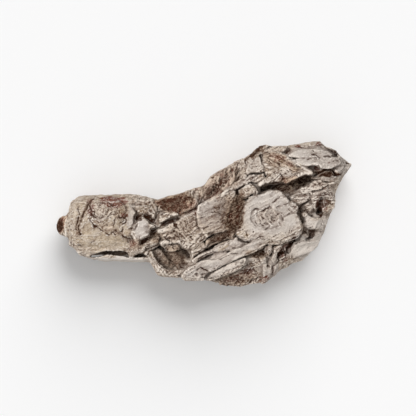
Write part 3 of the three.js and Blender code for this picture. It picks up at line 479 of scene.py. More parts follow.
hollow(0.6, 0.7, (-9.2, -12.8, -8, -13.6, -6.4, -14.4, -4.8, -15, -4.6, -16, -5.2, -17.2, -6.4, -17.8,
    -8.4, -16.4, -9.6, -15.6, -12, -14.4, -10.4, -13.8))
hollow(0.6, 0.9, (-8.8, -16.8, -8, -18, -7.6, -19.2, -6.4, -19.4, -6.4, -20.8, -7.4, -22, -9.8, -21.8,
    -10, -20, -9.2, -18.8))
hollow(0.6, 1, (-17.6, -8.6, -16.4, -8.4, -16, -9.6, -15.2, -10.4, -17.2, -10.8, -18.2, -10, -19, -8.9))
for x, y, length, rise in (
    (-17.8, -6.9, 5.6, 0.8),
    (-16.8, -9, 4.8, 0.5),
    (-17.5, -11.5, 5, 0.2),
    (-15.3, -14.1, 5, 0.2),
):
    ledge(0.8, 1, (x, y, x + length, y + rise))
    crack(0.55, 1, (x + 0.6, y - 1.1, x + 1.1 * length, y + rise - 1.1))

# ridges that run up to the right below the plates, and the flank below the lowest
crack(0.35, 0.8, (19.8, -22.2, 20.6, -23.2, 21, -24.4))
crack(0.4, 0.7, (11.2, -24.6, 12.8, -24.4, 14.4, -23.6))
crack(0.4, 0.75, (3.6, -21.9, 4.2, -22))
crack(0.4, 0.8, (8.8, -28, 9.6, -27.6))
crack(0.4, 0.9, (18.4, -22, 19.2, -20.6, 20.2, -22))
crack(0.45, 0.8, (17, -27.8, 18, -27.4))
crack(0.45, 0.9, (3.2, -26.7, 4, -27.5), (17, -19, 17.4, -20.2))
crack(0.45, 0.95, (7.8, -15.3, 8.6, -14.4))
crack(0.5, 0.7, (21.8, -26.8, 24, -25.2, 25, -24.6))
crack(0.5, 0.85, (0.8, -16.8, 1.6, -15.8))
crack(0.5, 0.9, (20.6, -27, 21.2, -25.6))
crack(0.5, 0.95, (10.8, -15.8, 13.2, -15.2), (-1.8, -24, -0.8, -24.3, 0, -23.9))
crack(0.5, 1, (-3.8, -17, -2.8, -16.6), (10.4, -28, 11.6, -28.8, 12.8, -29.2, 14, -29.8, 15, -30.4))
crack(0.55, 0.85, (14.8, -15.2, 15.8, -14.5))
crack(0.55, 1, (-3.4, -15.3, -1.6, -15.3), (6, -17.6, 7, -18, 7.8, -17.2, 8.8, -16.6, 9.8, -16.5),
    (15, -25.6, 13.8, -26.2, 13.2, -26.8, 12.4, -27.8))
crack(0.6, 0.95, (-2.4, -22, -1.2, -21.3, 0.8, -22.4, 2.6, -23.4))
crack(0.6, 1, (11, -13.7, 12.8, -13.4, 15.2, -12.5, 17.6, -11), (-2.2, -18, -0.2, -16.6, 0.8, -16.2,
    2.8, -15.2, 5, -15.5), (-4.4, -19.8, -3.2, -19.2, -2, -18.4), (5.8, -21.5, 8, -20.5, 9.8, -19,
    10.8, -18.6, 11.8, -19, 13.6, -18.2, 16, -16.9, 18.4, -15.8), (17.2, -26.2, 18, -26.4))
crack(0.7, 1, (-1, -25.2, -0.4, -25.1))
crack(0.75, 1, (1, -26.2, 4, -25.6, 7, -24.8, 10.4, -23.8, 13.2, -22.5, 14.4, -22, 15.8, -21.4, 17.2, -20.4))
crack(0.8, 1, (17.6, -28.4, 18.4, -27.2, 19.4, -26.4))
ledge(0.35, 0.7, (17.2, -25.6, 18.2, -24.6, 18.8, -23.8), (8, -25.4, 9.2, -25, 10.4, -24.8))
ledge(0.43, 0.85, (9.2, -15.8, 10.8, -14.6, 12.8, -14, 14.4, -13.5))
ledge(0.48, 0.85, (2, -14, 4.4, -13, 6.8, -11.8, 9.2, -10.8, 11.2, -10.4))
ledge(0.48, 0.95, (-4, -19.6, -1.6, -18.8, 0.8, -18.2, 2.4, -17.8, 4, -17.4), (7.2, -21.6, 9.6, -21.2,
    12, -20.2, 14.4, -19.2))
ledge(0.48, 1, (7.2, -18.4, 8.4, -17.6, 10, -17), (1.8, -22.2, 3, -23, 4.4, -23, 6, -22.5, 7.2, -22.5))
hollow(0.6, 1, (1.2, -26.1, 3.2, -25.7, 6, -25, 6.8, -25.6, 7.2, -26.2, 4.8, -26.3, 2.8, -26.5))
pit(0.9, 0.35, (15.7, -18.8))
pit(0.95, 0.35, (-2.8, -24))

# splits, vents, lobes and broken ground round the six-sided plate
crack(0.35, 0.7, (36, 6.9, 37.2, 5.7), (38.6, 5.2, 39.6, 6.4, 41, 6.6))
crack(0.4, 0.7, (16.8, -7.4, 17.6, -8.8))
crack(0.4, 0.8, (25.8, -12.4, 28, -12.3, 29.4, -11.8))
crack(0.4, 0.9, (41.2, 4.9, 42, 4.1, 43.6, 3.8))
crack(0.4, 1.1, (42, -8.8, 41.2, -10.2))
crack(0.4, 1.3, (42.8, -8.4, 44, -7.8, 45, -7.6))
crack(0.45, 0.5, (36.8, -12.2, 37.6, -13))
crack(0.45, 0.8, (22.4, -12.2, 23.2, -11.5, 24.4, -11.4, 25.6, -11.6, 26.8, -11.2, 27, -10), (38.8, 2.4,
    40, 1.6, 41.2, 0.8, 42.4, -0.2, 43, -0.7), (42.4, 1.4, 43, 0.2, 43.6, -0.6))
crack(0.45, 0.9, (19.6, -10, 20.8, -9.5, 22, -8.9, 23.2, -8.7))
crack(0.5, 0.7, (37, -18, 37.6, -17.5), (46.8, -6.4, 47, -7))
crack(0.5, 0.8, (32.4, -19, 31.2, -20), (44.6, -7.2, 46.4, -6.2, 47.6, -6.4), (48, 1, 49.2, -0.2))
crack(0.5, 0.9, (35.4, -11.8, 36.6, -11.8, 37.2, -11.2, 38.4, -11, 39.6, -10.7), (38, 2.8, 39.2, 3.5,
    40.4, 4.5), (34.8, 6.2, 36.4, 6.9, 38.4, 7.5, 40, 8, 41.6, 8.6, 42.8, 8.9, 44, 9.3, 45.6, 9.8,
    47.4, 9.9))
crack(0.5, 1, (13.5, -8.4, 14.2, -9.6, 15.2, -10.2, 16.8, -10.2, 18.4, -10.4, 18.9, -9.4), (31.2, -18.2,
    31.3, -18.8))
crack(0.55, 0.8, (34.6, -16.2, 35.2, -16.8, 35.3, -17.8))
crack(0.55, 1, (24.2, -14.4, 25, -16))
crack(0.55, 1.5, (41.6, -6.4, 42.2, -5.6))
crack(0.55, 1.6, (40.2, -7, 41.2, -8))
crack(0.6, 0.9, (21.6, -16.4, 21.6, -17.6, 22.1, -18.8), (37.1, 1, 37.3, 0.8))
crack(0.6, 1.7, (42, -9.6, 43.4, -9.2))
crack(0.65, 1, (26.2, -16, 26.4, -17, 25.8, -17.8, 25.6, -18.8, 26, -19.6), (29.5, -17, 29.5, -18.6,
    28.8, -19.4, 27.6, -21, 27.4, -21.8, 27.5, -22.8, 27.4, -24, 26.8, -25, 26.4, -26, 25.2, -27, 24, -28))
crack(0.7, 0.9, (44.8, -8.6, 45.2, -7.6, 46.4, -6.8))
crack(0.7, 1, (16.4, -16.8, 18.4, -15.8, 20.8, -14.6, 23.2, -14, 24.2, -13.2, 24.8, -12.5, 25.8, -12.4))
crack(0.75, 1, (34.5, -11.2, 35.4, -10, 37, -9.6, 37.8, -9, 38.4, -8, 39, -7, 38.9, -6))
crack(0.8, 1, (43, -0.7, 44.2, -1.1))
crack(0.8, 1.9, (41, -10, 42.2, -9.4, 42.8, -8, 44, -7.1))
crack(0.9, 1, (30.6, -15.6, 32, -15.6, 33.2, -15.2))
ledge(0.4, 0.8, (12.9, -8, 13.2, -9.6, 14.4, -10.8), (43.2, 9.9, 44.8, 10.5, 46.4, 10.7))
ledge(0.4, 0.9, (34.4, 6.5, 36.4, 7.6, 38.4, 8.2))
ledge(0.5, 0.7, (49.2, 7, 49.4, 6.6))
ledge(0.5, 0.8, (47.2, 6.9, 48.4, 6.9, 49, 7.4))
ledge(0.5, 1, (38.6, 10.4, 38.8, 9.2, 39.4, 8.4))
ledge(0.6, 1, (18, -17.6, 20, -17.4))
hollow(0.6, 0.45, (47.4, 6, 48.4, 6.2, 49.6, 5.6, 50, 4.4, 49.4, 3, 48.2, 2.6, 47.6, 3.6, 47.2, 4.8))
hollow(0.6, 0.75, (38.6, -1.2, 39.2, -2, 40, -2.8, 40.8, -2.6, 40.4, -3.2, 39.4, -3.6, 38.8, -4.6,
    38.4, -3.2, 37.8, -1.8))
hollow(0.6, 0.8, (27.4, -13.2, 27.8, -14.4, 27.6, -16, 26.8, -16.8, 26.2, -16.2, 26.6, -14.8), (29.2, -15,
    30, -14.6, 30.8, -15.2, 31, -16.4, 30.4, -17.4, 29.6, -17, 29, -16))
hollow(0.6, 1.2, (41.2, -6.6, 43, -6, 44.4, -6.4, 45.6, -7.2, 44.4, -8, 44.6, -9.4, 43.2, -10, 42.6, -8.6,
    41.4, -8.8))
hollow(0.7, 0.75, (37.4, 2.4, 38.4, 3, 39.2, 2, 38.6, 1.2, 37.2, 1.6))
hollow(0.7, 0.85, (34.6, -10.8, 36, -9.8, 36.8, -10.2, 36.4, -11.6, 35.6, -12.4, 35.4, -13.6, 34.6, -14.8,
    34, -15.6, 32.8, -15.6, 32.6, -14.6, 32.8, -13.2, 33.6, -12))
hollow(0.7, 1, (16.2, -10.9, 18.4, -10.4, 19.8, -10, 18.8, -10.9, 17.2, -11.7, 16.2, -12.2))
hollow(0.8, 0.95, (18.4, -16, 20.8, -14.7, 23.2, -14.3, 24.2, -14.4, 25, -16, 25.2, -16.5, 22.4, -16.6,
    20.4, -16.7, 18.4, -16.8))
hollow(0.9, 0.9, (25.8, -19.8, 26.6, -20.4, 26.8, -21.4, 26.2, -22, 25.4, -22.1, 25, -21.4, 25.2, -20.4))
hollow(1, 0.9, (45.4, 4.6, 46, 6.2, 46.8, 6.8, 47.4, 6, 47.2, 4.6, 47.8, 3.4, 47, 2.2, 46.8, 0.8, 46.2, -0.4,
    45.2, -0.2, 44.8, 1, 45.2, 2.8))
pit(0.55, 0.3, (19.5, -7.1))

# six-sided plate: the worn crater in its middle and the lobes round it
crack(0.4, 0.5, (19.2, 0, 19.6, 1.2), (34.2, -5.6, 33.8, -6.8, 33.4, -8.4), (35.6, -5.2, 34.8, -6.4,
    34.6, -7.6))
crack(0.4, 0.6, (21.8, -3, 23, -4, 24, -4.8))
crack(0.4, 0.7, (26.4, -5.8, 27.2, -5.2, 28.4, -5.1), (26.8, -2, 27.4, -2.8, 28.4, -3.2))
crack(0.4, 0.8, (33.6, 2.2, 34, 2.8, 35.6, 3.1), (33.4, 1.6, 34.4, 0.8, 35.8, 0.4), (20.3, -4, 20.6, -4.4))
crack(0.45, 0.7, (24.8, 1.4, 25.8, 1.2, 26.6, 0.2))
crack(0.45, 0.8, (26.2, 7.1, 26.5, 7.1))
crack(0.45, 0.9, (31, 0.4, 31.8, -0.6, 32.8, -0.2, 33.8, 0.4), (19.8, 1.6, 20.2, 2.2, 21, 2.3, 21.8, 1.8))
crack(0.5, 0.6, (22.8, -0.8, 23.2, -1.2))
crack(0.5, 0.8, (27.2, 4.8, 28.4, 5.4, 29.2, 6, 29.8, 6.7), (28.4, -4.9, 29.6, -4.6, 30.4, -4.1),
    (20.4, -2.8, 21.2, -3.5))
crack(0.5, 0.9, (34, 6.4, 34.4, 5, 33.8, 4.2, 32.6, 3.6, 30.6, 3.4, 29.2, 3), (28.6, 0, 29.6, 0.3),
    (37.4, -1, 38, -2.2, 38.5, -3.6))
crack(0.6, 0.9, (24.6, -6, 25.4, -5.2, 25.8, -4.6, 24.8, -4), (28, -1.3, 28.5, -1.6))
crack(0.6, 0.95, (23.4, 1.6, 24, 2.4, 25.2, 2.5, 25.8, 3, 26.4, 2.4))
crack(0.6, 1, (30.8, -1, 31.3, -2.2))
crack(0.7, 1, (29.9, -3.6, 30.3, -4.3))
ledge(0.5, 0.8, (27.8, 1, 27.2, 2.2, 27.6, 3.2))
fold(0.8, 0.35, (20.4, 1.4, 20, 0, 20.6, -1.6, 21.8, -2.8), (21.8, 1.4, 22, 0, 22.8, -1.6, 23.4, -3))
fold(0.8, 0.4, (28.4, 0.6, 29.4, -0.6, 29.6, -2.2, 29, -3.6))
fold(0.9, 0.4, (25, 1.4, 26.2, 0.8, 26.8, -0.4), (31, 2.8, 33, 2.6, 35, 2.2, 36.2, 1.2))
fold(1.2, 0.6, (24.4, 2.2, 23.9, 0.6, 24, -1.2, 25, -3, 26.4, -4.8))
hollow(0.5, 0.6, (26.6, -0.8, 27.2, -0.8, 28.4, -1.4, 28.2, -2.6, 27.2, -2.8, 26.6, -1.8))

# brow with its lens-shaped scars, square plate, splinters, and the long crevice under the eaves
crack(0.3, 0.5, (28.6, 15.5, 29.6, 15.2))
crack(0.3, 0.6, (19, 20, 19.2, 18))
crack(0.35, 0.6, (23.2, 14.8, 24, 15.3), (28.4, 21.8, 29.6, 20.8))
crack(0.35, 0.7, (24.2, 27.4, 24.5, 26.4), (16.6, 13, 18, 12.8))
crack(0.4, 0.6, (30.2, 23.4, 31.2, 22.8))
crack(0.4, 0.65, (51.6, 18.6, 52.8, 18.9, 53.6, 19))
crack(0.4, 0.7, (20.4, 15.6, 21.6, 14.5), (14.8, 10.9, 16, 11.3), (26.8, 23.1, 27.6, 22.7), (32.8, 18.8,
    34, 19.4, 35, 19.6), (46.6, 11.7, 48.8, 11.3), (51.2, 14.8, 51.8, 13.4, 52.6, 12.2))
crack(0.4, 0.8, (14.6, 21.8, 14.6, 19.6, 13.8, 16), (22.8, 20.8, 24.4, 21.8, 25.2, 21, 26, 20.4),
    (22.6, 22.6, 24.8, 23.6, 26.4, 23.8, 27.8, 22.6), (26.4, 17.8, 28, 17.9, 29.6, 18.1, 31, 18.8), (32, 19,
    33.2, 18.3, 34.2, 17.8))
crack(0.4, 0.9, (36.8, 16.8, 38, 17.2, 39.2, 17.8, 40.4, 18.4))
crack(0.45, 0.65, (38.6, 22, 39.8, 22.2))
crack(0.45, 0.8, (23.8, 20.6, 26.6, 19.2, 29.4, 17.6))
crack(0.45, 0.9, (22.2, 22.8, 22.8, 21.4, 23.2, 20, 24, 18.4, 24.4, 17.2))
crack(0.45, 0.95, (40.4, 26.4, 41.6, 26, 42.8, 25.2, 43.6, 24.6))
crack(0.5, 0.8, (46.8, 13.2, 47.8, 12.4, 49.4, 11.4), (45.6, 11.6, 46.8, 10.8))
crack(0.5, 0.85, (40.8, 22, 42.8, 22.3, 44.8, 22.2), (51.2, 20.8, 52.4, 21.1, 53.6, 21.1))
crack(0.5, 0.9, (23.4, 25.1, 25, 26.3, 26, 26.7), (17.2, 15, 18.4, 15.9, 19.6, 16.2, 21.2, 16.4, 22.4, 16.7,
    24, 16.7), (27.6, 23.4, 30.4, 22.2, 33.2, 20.4, 36, 18.9), (30.8, 24.6, 31.8, 24.3), (33, 17,
    33.6, 15.9), (30.6, 15.9, 31.4, 15.2, 32, 14.2, 31.4, 13.8))
crack(0.5, 0.95, (16.4, 21.4, 16.6, 19.2, 16.4, 17.2, 16.8, 15.4))
crack(0.55, 0.9, (20.6, 12.2, 21.8, 13, 23.2, 13.7, 24.4, 14.4, 26, 15.1))
crack(0.6, 0.95, (42.8, 23.6, 44.4, 23.5, 45.6, 23.1, 46.2, 22.6))
crack(0.7, 0.9, (17.4, 22.9, 18.4, 23.4, 19.6, 24.2, 20.8, 25))
crack(0.7, 1, (34.4, 26.7, 36.8, 26.9, 39.8, 26.9), (16.4, 6, 17.6, 6.8, 18.8, 7.6, 20.4, 7.8, 20.4, 8.9))
crack(0.8, 1, (41.8, 26.6, 43.6, 26.6, 44.8, 27.2, 46.4, 27.4, 47.6, 26.4))
crack(0.85, 1, (49.6, 26.5, 50.6, 25.4, 51.6, 25, 52.4, 24.8, 53, 24.2, 53.3, 23.2))
ledge(0.35, 0.7, (16, 10.9, 17.2, 11.9, 18.4, 12.4))
ledge(0.4, 0.8, (18.8, 23, 20.4, 23.8, 22, 24.4, 23.2, 24.3), (21.6, 22.6, 22.4, 21, 23, 19.2, 23.8, 17.4),
    (26, 22.6, 28.8, 21.4, 31, 19.8, 33.6, 18.2, 36.2, 16.8), (29.8, 24.8, 30.4, 24, 31.6, 23.2, 32.4, 22.8),
    (30.4, 19.4, 32, 18, 33.6, 17.2, 35.2, 16.2))
ledge(0.4, 1, (34, 11.2, 34.8, 10.8, 35.4, 10.2), (40.6, 10.8, 41.2, 11.8, 42, 12.4, 42.8, 11.9),
    (37.1, 12.5, 37.3, 12.3))
ledge(0.45, 0.9, (22.8, 22.2, 25.6, 20.9, 28.4, 19.6, 31, 18, 33.4, 16.4))
ledge(0.45, 1, (43.2, 13.4, 43.5, 13.3))
ledge(0.5, 1, (30.8, 24.6, 33.6, 22.6, 36.6, 20.4, 39.4, 18.6, 42, 16.8), (32.6, 12.5, 34.4, 13.7,
    36.4, 14.7, 38.4, 15.7, 40, 16.3, 41.6, 16, 42.8, 15.3, 43.8, 15.8), (16.4, 10.8, 18, 12, 19.2, 12.6,
    20.2, 12, 20.8, 11.8, 22.4, 12.2, 24.4, 12.6, 25.6, 12.5))
ledge(0.58, 0.95, (46.6, 19.2, 46.5, 18.4))
ledge(0.7, 0.9, (20.8, 11.6, 21.8, 10, 21.2, 8.2))
hollow(0.4, 0.7, (51.2, 24.6, 52.6, 24.6, 53.4, 23.4, 52.6, 22.8, 51.8, 23.4), (47, 23.2, 48, 23.8, 50, 24,
    51.4, 23.2, 50.8, 22.6, 48.8, 22.4, 47.4, 22.6))
hollow(0.4, 0.8, (36.4, 20.4, 38, 19.2, 38.8, 18.4, 37.6, 18, 36.4, 18.6))
hollow(0.5, 0.55, (43.8, 19.4, 46, 19.7, 46.3, 18.4, 46.6, 17.6, 44.4, 17.4, 43.6, 18.4))
hollow(0.5, 0.65, (23.2, 11.2, 24.8, 11.7, 26.4, 12.4, 29.6, 12.6, 32, 12, 34.4, 13.2, 36.8, 14, 38.8, 15,
    40.8, 15.6, 42, 15, 42.8, 13.6, 42.8, 12.8, 40.4, 11, 38, 10.8, 36.4, 10, 33.6, 9.4, 32, 8.6, 30.4, 9.4,
    28, 9.8, 26.4, 9.4, 25.2, 9, 24.6, 10.4))
hollow(0.5, 0.9, (55.6, 22.2, 56.4, 21.2, 57.4, 20.6, 58, 19.9, 56.4, 19.6, 56.2, 20.8), (31.6, 24.2,
    32.8, 25, 34.2, 26.4, 35, 25.4, 33.6, 24.4, 33, 23.6, 32.2, 23.6))
hollow(1, 1, (43.2, 15, 44.4, 16.6, 46, 17.4, 48, 17.6, 50, 17.9, 51.6, 17.4, 52.4, 16.4, 53.6, 15.2,
    51.6, 15.2, 50, 15.8, 47.6, 15.6, 46, 14.4, 44, 14.2))

# ---------------------------------------------------------------- where the skin is rough or stained
# Each zone is an ellipse: a value, its middle's x and y, half its length and width, and its turn in degrees.

wavy = P + 1.1 * np.stack([fractal(P, 4.5, 3, s) for s in (11, 23, 37)], 1)


def spread(target, *zones):
    """Brings values towards each zone's own, on the upper side, with a soft edge."""
    for value, *place in zones:
        weight = ellipse(*place, places=wavy) * smooth(N[:, 2], -0.1, 0.3)
        target += (value - target) * weight


def zoned(everywhere, *zones):
    """One value a vertex: this one, but for these zones."""
    values = np.full(count, float(everywhere))
    spread(values, *zones)
    return values


rough = zoned(
    0.65,
    (0.3, -41, -2, 14, 14),  # barrel
    (0.2, -34, -18, 13, 1.7),  # lip under the barrel
    (0.7, -40, 0, 7, 5, 10),  # boss
    (0.15, -24.8, -6.5, 3.4, 5), (0.2, -29, -1, 1.8, 4), (0.75, -18, 2, 5, 6),  # neck
    (0.8, -4, 7, 10, 4, 20), (0.75, 7, 13, 9, 5, 35),  # bark
    (0.85, -9, -7, 7, 4, 25),  # hatched plate
    (0.9, -13, -17, 6, 5),  # cell
    (0.3, 4, -0.5, 7.5, 7, 25), (0.35, 12.5, 0, 3, 9, -12),  # big plate
    (0.22, 9, -17.4, 16, 4.6, 26),  # ridges
    (1, 15, -26, 9, 4.5, 12),  # flank
    (0.12, 26, -0.5, 12.5, 10), (0.4, 25, -1, 5.5, 3.6),  # six-sided plate and its crater
    (0.2, 26, -22, 4, 6), (0.25, 41, -12, 9, 5.5, 25), (0.45, 45, -3, 5, 5),  # smooth lobes
    (0.7, 40, 4, 5, 5), (0.85, 46, 12, 7, 4),  # broken ground at the right
    (0.2, 45, 22.5, 13, 6.5, -5), (0.35, 51, 18.5, 9, 6, -20),  # brow
    (0.5, 20, 19.5, 4, 3.5), (0.7, 33, 20, 5, 4),  # square plate and splinters
)
rust = zoned(
    0,
    (0.9, -57.6, -4, 2.6, 4.2), (1, -36, 5.2, 6, 2.6, -12), (1, -44.2, 1.2, 1.5, 2.4),
    (0.7, -46, 4.6, 1.6, 2, 60), (0.8, -32, -0.6, 1.6, 1.4), (0.7, -28, -12, 2.4, 1.8), (0.8, -15, 4, 5, 3),
    (1, -9.5, 4, 5, 3.2, 20), (0.8, -4.5, 2.6, 2.4, 2.8), (0.65, 5, 11.5, 10, 4.4, 35),
    (0.85, 15.6, -23.4, 5.4, 2.4, 24), (0.5, 9, -26.8, 4, 1.4, 14), (0.6, 12.8, 1, 2, 6, -14),
    (0.6, 33, 12.4, 9, 2.2, 18), (0.6, 12, -26.4, 8, 2.4, 14), (0.85, 17, -23, 4.6, 1.8, 24),
    (0.7, 23.5, -26, 2.6, 1.4, 40), (0.7, 28.4, 22.6, 3, 1.6, -25), (0.6, 33, 20.8, 4.6, 1.3, -36),
    (0.8, 33, -13.8, 4.6, 2, 48), (0.7, 48, 20.6, 1.2, 0.7), (0.6, 47, 3.6, 2.2, 3), (0.8, 38, 27, 2, 0.7),
    (0.7, 46.5, 27.3, 1.6, 0.8), (0.6, 33, -18, 1.6, 1.6), (0.6, 45, 18.6, 1.4, 1), (0.5, 32, 13.6, 2, 0.8),
    (0.5, 47, 17, 4.4, 1.2, -4),
)
ochre = zoned(
    0,
    (0.9, -40, -2.8, 2, 1.4), (0.5, -38.6, 1.4, 3.4, 2), (0.5, -50.6, -9, 2.6, 2.2, -50),
    (0.6, -37.2, -4.2, 1.5, 0.8), (0.6, -47.6, -10.6, 3, 2), (0.8, -32.4, 0.6, 1.4, 1.4),
    (0.7, -22.8, 2.4, 3.6, 2.2), (0.3, -41, -8, 12, 5), (0.7, 7.6, -13.6, 3, 1, 26),
    (0.8, 16, -8.4, 2.4, 1.8), (0.7, 8, -26.8, 1.8, 1), (0.6, 20.8, 25.2, 2.4, 0.9),
    (0.7, 37, 19.4, 2.2, 1.4), (0.9, 49, 4.8, 1.2, 1.8), (0.6, 29.4, 21.4, 2, 1.8), (0.5, 49, 27, 1.6, 0.8),
    (0.4, 21, -22.5, 3, 2),
)
brown = zoned(
    0.2,
    (0, -41, -4, 14, 12), (0.35, -40, 2, 6, 4), (0.7, -27, -12, 3, 2.4), (0.8, -19, -9, 3, 2.4),
    (1, -12, 4.6, 9, 4.4), (0.65, 6, 12, 11, 4.5, 33), (0.75, -12, -17.5, 6, 5), (0.7, 6, -10, 7, 2.4, 24),
    (0.65, 13, -25.8, 8, 3.6, 12), (0.8, 21, -15.8, 4.4, 1.4), (0.35, 46, 13, 6, 3.4),
    (0.25, 40, 4.5, 5, 5), (0.7, 28, 21.4, 5.4, 3.4, -25), (0.8, 33, 20.6, 6, 2, -36),
    (0.5, 4, -1, 9, 7, 30), (0.15, 0.4, 2.4, 3.4, 3.4), (0.75, 9.4, 0.6, 2.6, 7, -12),
    (1, 12.6, 0.4, 3.2, 9, -14), (0.5, -10, -7, 7, 4, 25), (1, -57.6, -4, 2.6, 4.5),
    (0.75, -47.2, 1.4, 5.8, 1.3, 66), (0.7, -50, -5, 1.3, 4), (0.6, -33, 1, 2.6, 4, -20),
    (0.6, -38, -5.5, 6, 1.4, -24), (0.9, 35, 12, 9, 3, 18), (0, 27, 1, 10, 8.5), (0.35, 26, -1, 5, 3.4),
    (0.1, 44, -10, 8, 10), (0.6, 42.8, -7.4, 2.4, 1.2), (0.5, 39.4, -4, 1.2, 4),
    (0.4, 45, -1.4, 3, 1.2, 20), (0, 45, 22.6, 11, 5), (0.1, 52, 18, 7, 5, -30), (0, -24.8, -6, 3, 4),
    (0, -34, -18, 13, 1.7), (0.8, 20, 24.4, 5, 1.6, 32), (0.8, 48.4, 16.6, 6, 1.4, -4),
)
# on the lip under the barrel, the ridges and the smooth lobes this grey is also painted light, on slopes that
# face down and away from the key light
light = zoned(  # bleached grey, where the rest is sandy
    0.3,
    (0.15, -41, -3, 13, 12), (0.45, -40, 1, 6, 4), (0, -40, -9, 11, 4), (1, -34, -18, 13, 1.7),
    (0.9, -25, -6.5, 3.6, 5), (0.7, -29, -1, 1.8, 4), (0.5, -15, 0.6, 3, 1.6, 20), (0.2, -9, -7, 7, 4, 25),
    (0.9, 3, 0.5, 7, 7.5, 25), (0.8, 15, 13, 9, 2.4, 28), (0.9, 7, -18.5, 18, 6, 27),
    (0.85, 26, 0, 12.5, 10.5), (0.8, 26, -20, 3.5, 7), (1, 41, -12, 9, 5.5, 25), (1, 45, -3, 5, 5),
    (0.85, 44, 8, 8, 6), (0.9, 46, 21, 14, 7, -8), (0.7, 20, 19.5, 4.4, 4), (0.6, 34, 16, 9, 2, 15),
)

# ---------------------------------------------------------------- the skin between the marks

relief = 0.45 + 0.55 * top  # the sides and the underside are smoother
strata = 1 - 2 * np.abs(noise(turned(wavy, STRIKE, 7.0, 1.5), 51))


def fibres(degrees, seed):
    """Ridges that run this way: near 1 along a ridge and near -1 in the groove beside it."""
    wide = 1 - 2.4 * np.abs(noise(turned(wavy, degrees, 4.5, 1.0), seed))
    fine = 1 - 2.4 * np.abs(noise(turned(wavy, degrees, 2.4, 0.6), seed + 1))
    return 0.55 * wide + 0.45 * fine


def layers(degrees, spacing, seed):
    """Thin overlapping layers that run this way: each place's height, and the painted shadow at its foot, the
    painted highlight at its crest and the painted shade down its back.
    """
    a = math.radians(degrees)
    across = P[:, 1] * math.cos(a) - P[:, 0] * math.sin(a)
    bend = 0.9 * noise(turned(wavy, degrees, 14, 5), seed)
    bend += 0.5 * noise(turned(wavy, degrees, 5, 2), seed + 1)
    place = across / spacing + bend
    number = np.floor(place)
    place -= number
    kind = np.stack([number, number, np.full(count, degrees)], 1).astype(np.int64)
    strong = 0.6 + 0.4 * lattice(kind, seed)
    rise = smooth(place, 0.0, 0.14) * (1 - 0.9 * place)
    foot = np.exp(-((np.minimum(place, 1 - place) / 0.1) ** 2))
    crest = np.exp(-(((place - 0.25) / 0.13) ** 2))
    return np.stack([rise, foot, crest, smooth(place, 0.4, 1.0)]) * strong


def grained(degrees, seed):
    """The ridges and the layers that run this way, as rows: ridges, rise, foot, crest, shade."""
    return np.concatenate([fibres(degrees, seed)[None], layers(degrees, 2.6, seed + 2)])


skin = grained(STRIKE, 55)
level_skin = grained(2, 57)
steep_skin = grained(74, 59)
falling_skin = grained(-42, 63)
spread(
    skin,
    (level_skin, -41, -3, 16, 14), (steep_skin, -4, 6.5, 5, 5), (steep_skin, 6.5, 13, 10, 5, 35),
    (falling_skin, -9, -6, 4, 6, 25), (falling_skin, -13, -17, 7, 6), (steep_skin, 20, 19.5, 4.4, 4),
    (falling_skin, 28.5, 21, 5, 5), (steep_skin, 27, -20, 3.5, 7), (level_skin, 44, 23, 12, 5),
    (level_skin, 45, 8, 8, 7),
)
grain, rise, foot, crest, lee = skin
layered = smooth(noise(turned(wavy, STRIKE, 9, 4), 91), -0.6, 0.1)  # the layers come and go
border, scale = flakes(turned(wavy, STRIKE, 4.2, 2.1), 61)
small_scale = flakes(turned(wavy + 0.3 * wobble[:, :1], STRIKE + 12, 2.2, 1.0), 67)[1]
crumbs = fractal(P, 0.9, 2, 71, 0.7)
gaps = smooth(fractal(P, 3.0, 2, 83), 0.0, 0.5)  # the splits come and go
split = gaps * np.exp(-((border / 0.1) ** 2))
spread(
    shade,
    (0.45, 5, -1, 7.5, 6.5, 25),  # the lower right of the big plate
    (0.9, 12.8, 0.2, 2.6, 8.6, -14),  # the slope from the big plate down to the six-sided one
    (0.75, -9.5, 4, 7, 2.6, 20),  # the rust shoulders
)
bitty = zoned(  # where pale crumbs lie on dark ground
    0,
    (0.9, -4, 5.6, 4.6, 3, 20), (0.9, 7, 12.5, 10, 4, 36), (0.9, 12, -26, 9, 3.4, 14),
    (0.6, -14, -16, 4, 3), (0.35, -12, 4, 6, 2.6, 8),
)
